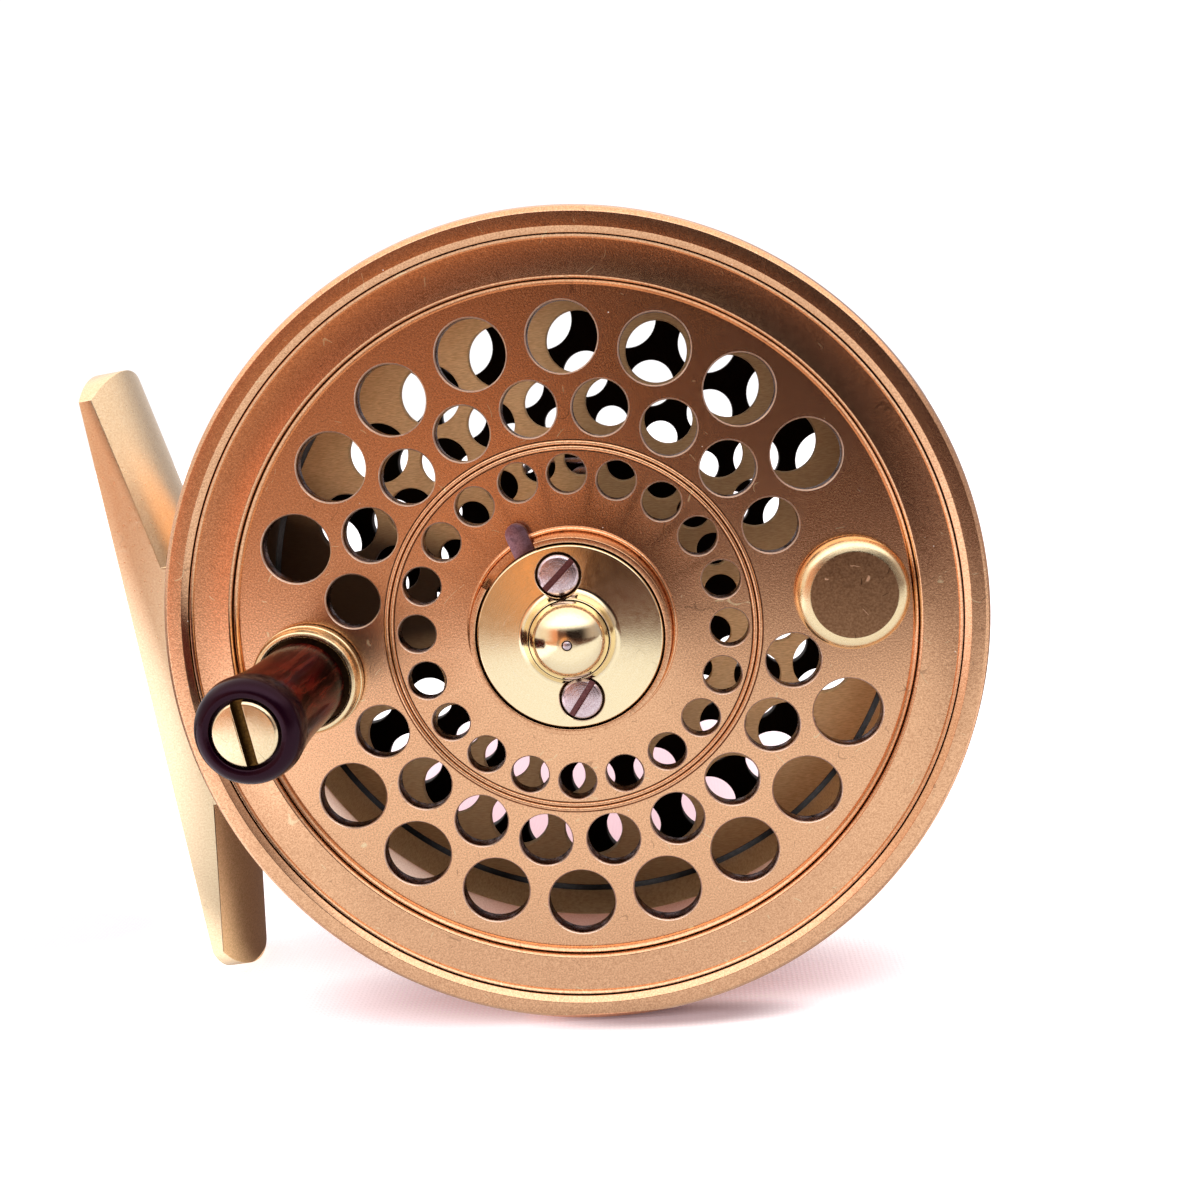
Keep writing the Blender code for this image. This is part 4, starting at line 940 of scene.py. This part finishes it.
def reel_foot():
    """The foot: flat seat, crowned blades that taper to rounded ends, and the pedestal on the cup."""
    front = -10.0
    back = -23.4
    middle = (front + back) / 2
    half_width = (front - back) / 2
    # Reach of each blade's tip and of its corners from the middle of the foot
    ends = {1: (35.5, 31.55), -1: (33.1, 30.3)}
    edge_half = ends[1][1]
    shoulders = (-11.9, 14.6)
    shoulder_mean = (shoulders[1] - shoulders[0]) / 2
    shoulder_edge = 4.26
    tip_edge = 1.15
    crown = 2.2
    crown_radius = (half_width**2 + crown**2) / (2 * crown)
    overlap = 5.0
    columns = 40
    rows = 30

    def depth(along, across):
        """Thickness of the foot at a point of its plan."""
        share = (abs(along) - shoulder_mean) / (edge_half - shoulder_mean)
        edge = shoulder_edge + (tip_edge - shoulder_edge) * share
        rise = math.sqrt(crown_radius**2 - across**2) - (crown_radius - crown)
        return edge + rise

    def blade(side):
        end, corner = ends[side]
        bulge = end - corner
        tip_radius = (half_width**2 + bulge**2) / (2 * bulge)

        def build(shape):
            grids = ({}, {})
            for row in range(rows + 1):
                for column in range(columns + 1):
                    across = half_width * math.sin(math.pi / 2 * (2 * column / columns - 1))
                    reach = end - tip_radius + math.sqrt(tip_radius**2 - across**2)
                    along = side * (overlap + (reach - overlap) * row / rows)
                    for grid, x in zip(grids, (SEAT_X - depth(along, across), SEAT_X)):
                        spot = Vector((x, along, middle + across)) * MM
                        grid[row, column] = shape.verts.new(spot)
            for grid in grids:
                for row in range(rows):
                    for column in range(columns):
                        near = (grid[row, column], grid[row, column + 1])
                        shape.faces.new((*near, grid[row + 1, column + 1], grid[row + 1, column]))
            border = [(row, 0) for row in range(rows + 1)]
            border += [(rows, column) for column in range(1, columns + 1)]
            border += [(row, columns) for row in range(rows - 1, -1, -1)]
            border += [(0, column) for column in range(columns - 1, 0, -1)]
            top, seat = grids
            for here, after in zip(border, border[1:] + border[:1]):
                shape.faces.new((top[here], top[after], seat[after], seat[here]))

        return build

    made = solid("foot_gold", blade(1))
    carve(made, blade(-1), "UNION")

    def pedestal(shape):
        add_box(shape, (34.0, shoulders[0], back), (SEAT_X, shoulders[1], front))

    def cup(shape):
        add_pin(shape, 0.0, 0.0, CUP_OUTER + 0.25, 5.0, -40.0, FINE)

    carve(made, pedestal, "UNION")
    carve(made, cup)
    shape = bmesh.new()
    shape.from_mesh(made.data)
    bmesh.ops.remove_doubles(shape, verts=shape.verts, dist=2e-6)
    bmesh.ops.dissolve_limit(shape, angle_limit=math.radians(0.4), verts=shape.verts, edges=shape.edges)
    shape.to_mesh(made.data)
    shape.free()
    bevelled(made, 0.22, 3, 32)
    place(made, FRAME, "frame", "gold_satin", ["reel_foot"], FOOT_GOLD, CROWN_SHADE_GOLD)
    # Crown faces of the lower blade, which face the reel, take the darker gold as painted shade
    for face in made.data.polygons:
        face.material_index = int(face.normal.x > 0.72 and face.center.y < 0.0)


def spindle():
    """The spindle with its latch neck, journal, flared base and threaded tail."""
    thread = []
    turns = 7
    pitch = 0.46
    for index in range(turns):
        height = PLATE_BACK - 0.1 - index * pitch
        thread += [(2.4, height), (2.4, height - 0.12), (2.18, height - 0.3), (2.18, height - 0.36)]
    profile = [
        (0.0, 4.0), (1.7, 4.0, 0.2), (2.4, 3.2, 0.2), (2.4, 1.8, 0.1), (1.6, 1.8), (1.6, 0.4),
        (2.4, 0.4, 0.1), (2.4, PLATE_FRONT + 3.6, 0.4), (3.8, PLATE_FRONT + 2.6, 0.4),
        (8.9, PLATE_FRONT + 1.9, 0.3), (9.5, PLATE_FRONT + 1.4, 0.2), (9.5, PLATE_FRONT + 0.3),
        (2.4, PLATE_FRONT + 0.3), *thread, (2.0, PLATE_BACK - 3.4, 0.1),
        (0.0, PLATE_BACK - 3.4),
    ]
    made = turned("spindle_turned", profile)

    def bores(shape):
        for index in range(3):
            spot = polar(SPINDLE_SCREW_RING, 120 * index)
            add_pin(shape, *spot, 1.0, PLATE_FRONT + 5, PLATE_FRONT - 1)

    carve(made, bores)
    place(made, FRAME, "frame", "steel", ["spindle"], DARK_STEEL)
    sizes = (1.3, 0.7, PLATE_FRONT + 3.35, PLATE_FRONT + 2.5, PLATE_BACK + 0.2)
    for index in range(3):
        name = f"spindle_screw_{index + 1}"
        spot = at(FRAME, SPINDLE_SCREW_RING, 120 * index)
        screw(name + "_slotted", spot, name, "frame", "steel", (STEEL, SLOT_SHADE_STEEL), sizes, 40 * index, 0.4)


def spindle_nut():
    """A hexagon nut with chamfered corners."""
    top = PLATE_BACK - 0.3
    bottom = PLATE_BACK - 2.3
    outline = [polar(4.6, 60 * index) for index in range(6)]
    made = solid("nut_hexagon", lambda shape: add_prism(shape, outline, bottom, top))
    crown = [
        (0.0, top), (4.1, top), (4.65, top - 0.32), (4.65, bottom + 0.32), (4.1, bottom),
        (0.0, bottom),
    ]
    carve(made, lambda shape: add_lathe(shape, crown, MEDIUM), "INTERSECT")
    bore = [
        (0.0, top + 1), (3.0, top + 0.3), (2.6, top - 0.1), (2.6, bottom + 0.1),
        (3.0, bottom - 0.3), (0.0, bottom - 1),
    ]
    carve(made, lambda shape: add_lathe(shape, bore, SMALL))
    bevelled(made, 0.08, 2, 25)
    place(made, FRAME, "frame", "brass", ["spindle_nut"], BRASS)


# ---------------------------------------------------------------- stage
def camera():
    """The photographer's view of the reel."""
    right = Vector((0.994673, 0.050536, -0.089839))
    up = Vector((0.079461, 0.179226, 0.980590))
    back = right.cross(up)
    data = bpy.data.cameras.new("camera")
    data.lens = 38.106
    data.sensor_width = 36.0
    data.clip_start = 0.01
    data.clip_end = 20.0
    made = bpy.data.objects.new("camera", data)
    spot = JOINT_AT["spool_spin"] + Vector((11.007, -120.363, 24.144)) * MM
    turn = Matrix((right, up, back)).transposed().to_4x4()
    made.matrix_world = Matrix.Translation(spot) @ turn
    bpy.context.scene.collection.objects.link(made)
    bpy.context.scene.camera = made


def sheet(name, steps, half):
    """A flat square grid on the ground."""
    sizes = {"x_segments": steps, "y_segments": steps, "size": half}
    return solid(name, lambda shape: bmesh.ops.create_grid(shape, **sizes))


def floor():
    made = sheet("floor", 24, 1.5)
    made.data.materials.append(floor_material())


def lamp(name, spot, aim, size, colour, power):
    data = bpy.data.lights.new(name, "AREA")
    data.shape = "RECTANGLE"
    data.size, data.size_y = size
    data.energy = power
    data.color = colour
    made = bpy.data.objects.new(name, data)
    made.visible_glossy = False
    direction = Vector(aim) - Vector(spot)
    made.matrix_world = Matrix.Translation(spot) @ direction.to_track_quat("-Z", "Y").to_matrix().to_4x4()
    bpy.context.scene.collection.objects.link(made)


def table_top():
    """What metal sees in front of the reel: white cloth, darker beside the reel and under and behind it as
    painted shade, then a warm table at the left and a dark figure.
    """
    material = bpy.data.materials.new("table_seen_by_metal")
    material.use_nodes = True
    glow = Nodes(material.node_tree)
    glow.tree.nodes.clear()
    x, y, _ = glow.parts(glow.node("ShaderNodeNewGeometry").outputs["Position"])
    away = glow.math("MULTIPLY", y, -1.0)
    side = glow.math("DIVIDE", x, away)
    shade = glow.mix(glow.ramp(away, 0.2, 0.6), (0.16, 0.075, 0.055), (0.035, 0.010, 0.006))
    warm = glow.mix(glow.ramp(side, -0.26, -0.14), (0.43, 0.26, 0.172), (1.0, 0.42, 0.17))
    warm = glow.mix(glow.ramp(side, -0.4, -0.47), warm, (0.76, 0.36, 0.215))
    far = glow.mix(glow.ramp(side, -0.11, -0.045), warm, shade)
    # Draws the far edge of the cloth nearer at the right and farther at the left, by the colour's brightness
    edge = glow.mix(glow.ramp(side, 0.02, 0.3), (-0.005, 0.0, 0.0), (0.125, 0.0, 0.0))
    edge = glow.mix(glow.ramp(side, -0.2, -0.42), edge, (-0.10, 0.0, 0.0))
    reach = glow.math("ADD", away, edge)
    # Painted shade: the cloth that metal sees is dark right beside the reel
    cloth = glow.mix(glow.ramp(away, 0.0, 0.014), (0.16, 0.12, 0.115), (0.86, 0.82, 0.83))
    cloth = glow.mix(glow.ramp(away, 0.012, 0.06), cloth, (1.04, 1.02, 1.03))
    cloth = glow.mix(glow.ramp(x, -0.042, -0.07), cloth, (1.7, 1.58, 1.66))
    tone = glow.mix(glow.ramp(reach, 0.165, 0.215), cloth, far)
    clear = glow.node("ShaderNodeBsdfTransparent")
    seen = glow.blend(glow.ramp(away, 0.0, 0.008), clear.outputs[0], glow.emission(tone))
    # Painted shade: what metal sees under and behind the reel is dim
    painted_shade_behind = glow.mix(glow.ramp(y, 0.035, 0.09), (0.16, 0.105, 0.10), (0.50, 0.41, 0.39))
    seen = glow.blend(glow.ramp(y, 0.002, 0.01), seen, glow.emission(painted_shade_behind))
    glow.feed(glow.node("ShaderNodeOutputMaterial").inputs["Surface"], seen)
    panel = sheet("table_top", 2, 2.0)
    panel.data.materials.append(material)
    panel.matrix_world = Matrix.Translation((0.0, 0.0, 0.0008))
    for ray in ("camera", "diffuse", "shadow", "transmission"):
        setattr(panel, "visible_" + ray, False)


def world():
    """A white studio; what metal sees of it is darker and warmer towards the front, and bright overhead."""
    made = bpy.data.worlds.new("studio")
    bpy.context.scene.world = made
    made.use_nodes = True
    glow = Nodes(made.node_tree)
    glow.tree.nodes.clear()
    x, y, z = glow.parts(glow.node("ShaderNodeTexCoord").outputs["Generated"])
    warm = glow.mix(glow.ramp(z, -0.02, 0.26), (0.36, 0.155, 0.085), (0.12, 0.045, 0.028))
    shade = glow.mix(glow.ramp(z, 0.0, 0.06), (0.035, 0.009, 0.005), (0.008, 0.001, 0.0005))
    front = glow.mix(glow.ramp(x, -0.13, -0.03), warm, shade)
    front = glow.mix(glow.ramp(x, 0.45, 0.9), front, (0.52, 0.42, 0.39))
    front = glow.mix(glow.ramp(x, -0.37, -0.44), front, (0.86, 0.36, 0.21))
    front = glow.mix(glow.ramp(x, -0.5, -0.85), front, (0.95, 0.80, 0.70))
    sides = glow.mix(glow.ramp(x, -0.4, 0.4), (0.92, 0.88, 0.90), (0.45, 0.42, 0.46))
    around = glow.mix(glow.ramp(y, -0.5, 0.25), front, sides)
    sky = glow.mix(glow.ramp(y, -0.62, -0.1), (2.0, 1.95, 2.0), (1.5, 1.3, 1.2))
    seen = glow.mix(glow.ramp(z, 0.34, 0.6), around, sky)
    plain = glow.node("ShaderNodeBackground")
    glow.feed(plain.inputs["Color"], (1.0, 0.985, 0.995))
    plain.inputs["Strength"].default_value = 1.1
    room = glow.node("ShaderNodeBackground")
    glow.feed(room.inputs["Color"], seen)
    path = glow.node("ShaderNodeLightPath")
    both = glow.blend(path.outputs["Is Glossy Ray"], plain.outputs[0], room.outputs[0])
    glow.feed(glow.node("ShaderNodeOutputWorld").inputs["Surface"], both)


# ---------------------------------------------------------------- assembly
spool()
counterweight()
handle_boss()
handle_grip()
latch_cover()
oil_pin()
sizes = (2.88, 1.6, 20.2, 19.15, -2.0)
skins = (BRASS, SLOT_SHADE_BRASS)
screw("handle_screw_slotted", HANDLE, "handle_screw", "spool_assembly", "brass", skins, sizes, 101, 1.0, 0.8)
sizes = (1.96, 0.65, 3.5, 2.6, -4.2)
skins = (BRIGHT_STEEL, SLOT_SHADE_STEEL)
for number, (angle, turn) in enumerate(COVER_SCREWS, 1):
    spot = at(SPOOL, COVER_SCREW_RING, angle)
    node = f"cover_screw_{number}"
    screw(node + "_slotted", spot, node, "spool_assembly", "steel", skins, sizes, turn, 0.6)
from_node("latch_lever", "latch_lever_plate", "latch", "latch_steel", MAUVE, 0.12)
from_node("ratchet_wheel", "ratchet_teeth", "spool_assembly", "steel", STEEL, 0.08)
from_node("click_pawl", "pawl_pointed", "pawl", "steel", STEEL, 0.08)
back_plate()
front_ring()
for number, angle in enumerate(PILLAR_ANGLES, 1):
    pillar(number, angle)
foot_bar()
reel_foot()
spindle()
spindle_nut()

# Nodes that keep their CAD shape
steel_sets = {"ratchet_screw": 3, "pillar_screw": 3, "bar_screw": 2, "foot_screw": 2, "spring_post": 2}
steel_nodes = ["latch_pivot", "latch_spring", "pawl_post", "pawl_spring"]
for kind, count in steel_sets.items():
    steel_nodes += [f"{kind}_{number}" for number in range(1, count + 1)]
for slot, material, nodes in (("brass", BRASS, ["front_bush", "rear_bush"]), ("steel", STEEL, steel_nodes)):
    for node in nodes:
        held = frame["nodes"][node]
        held.data.materials.clear()
        held.data.materials.append(material)

camera()
floor()
world()
lamp("overhead", (-0.1, -0.05, 0.75), (0.0, 0.0, 0.03), (0.8, 0.8), (1.0, 0.985, 0.97), 2.0)
table_top()
bpy.context.scene.view_settings.view_transform = "Standard"
bpy.context.scene.view_settings.look = "None"
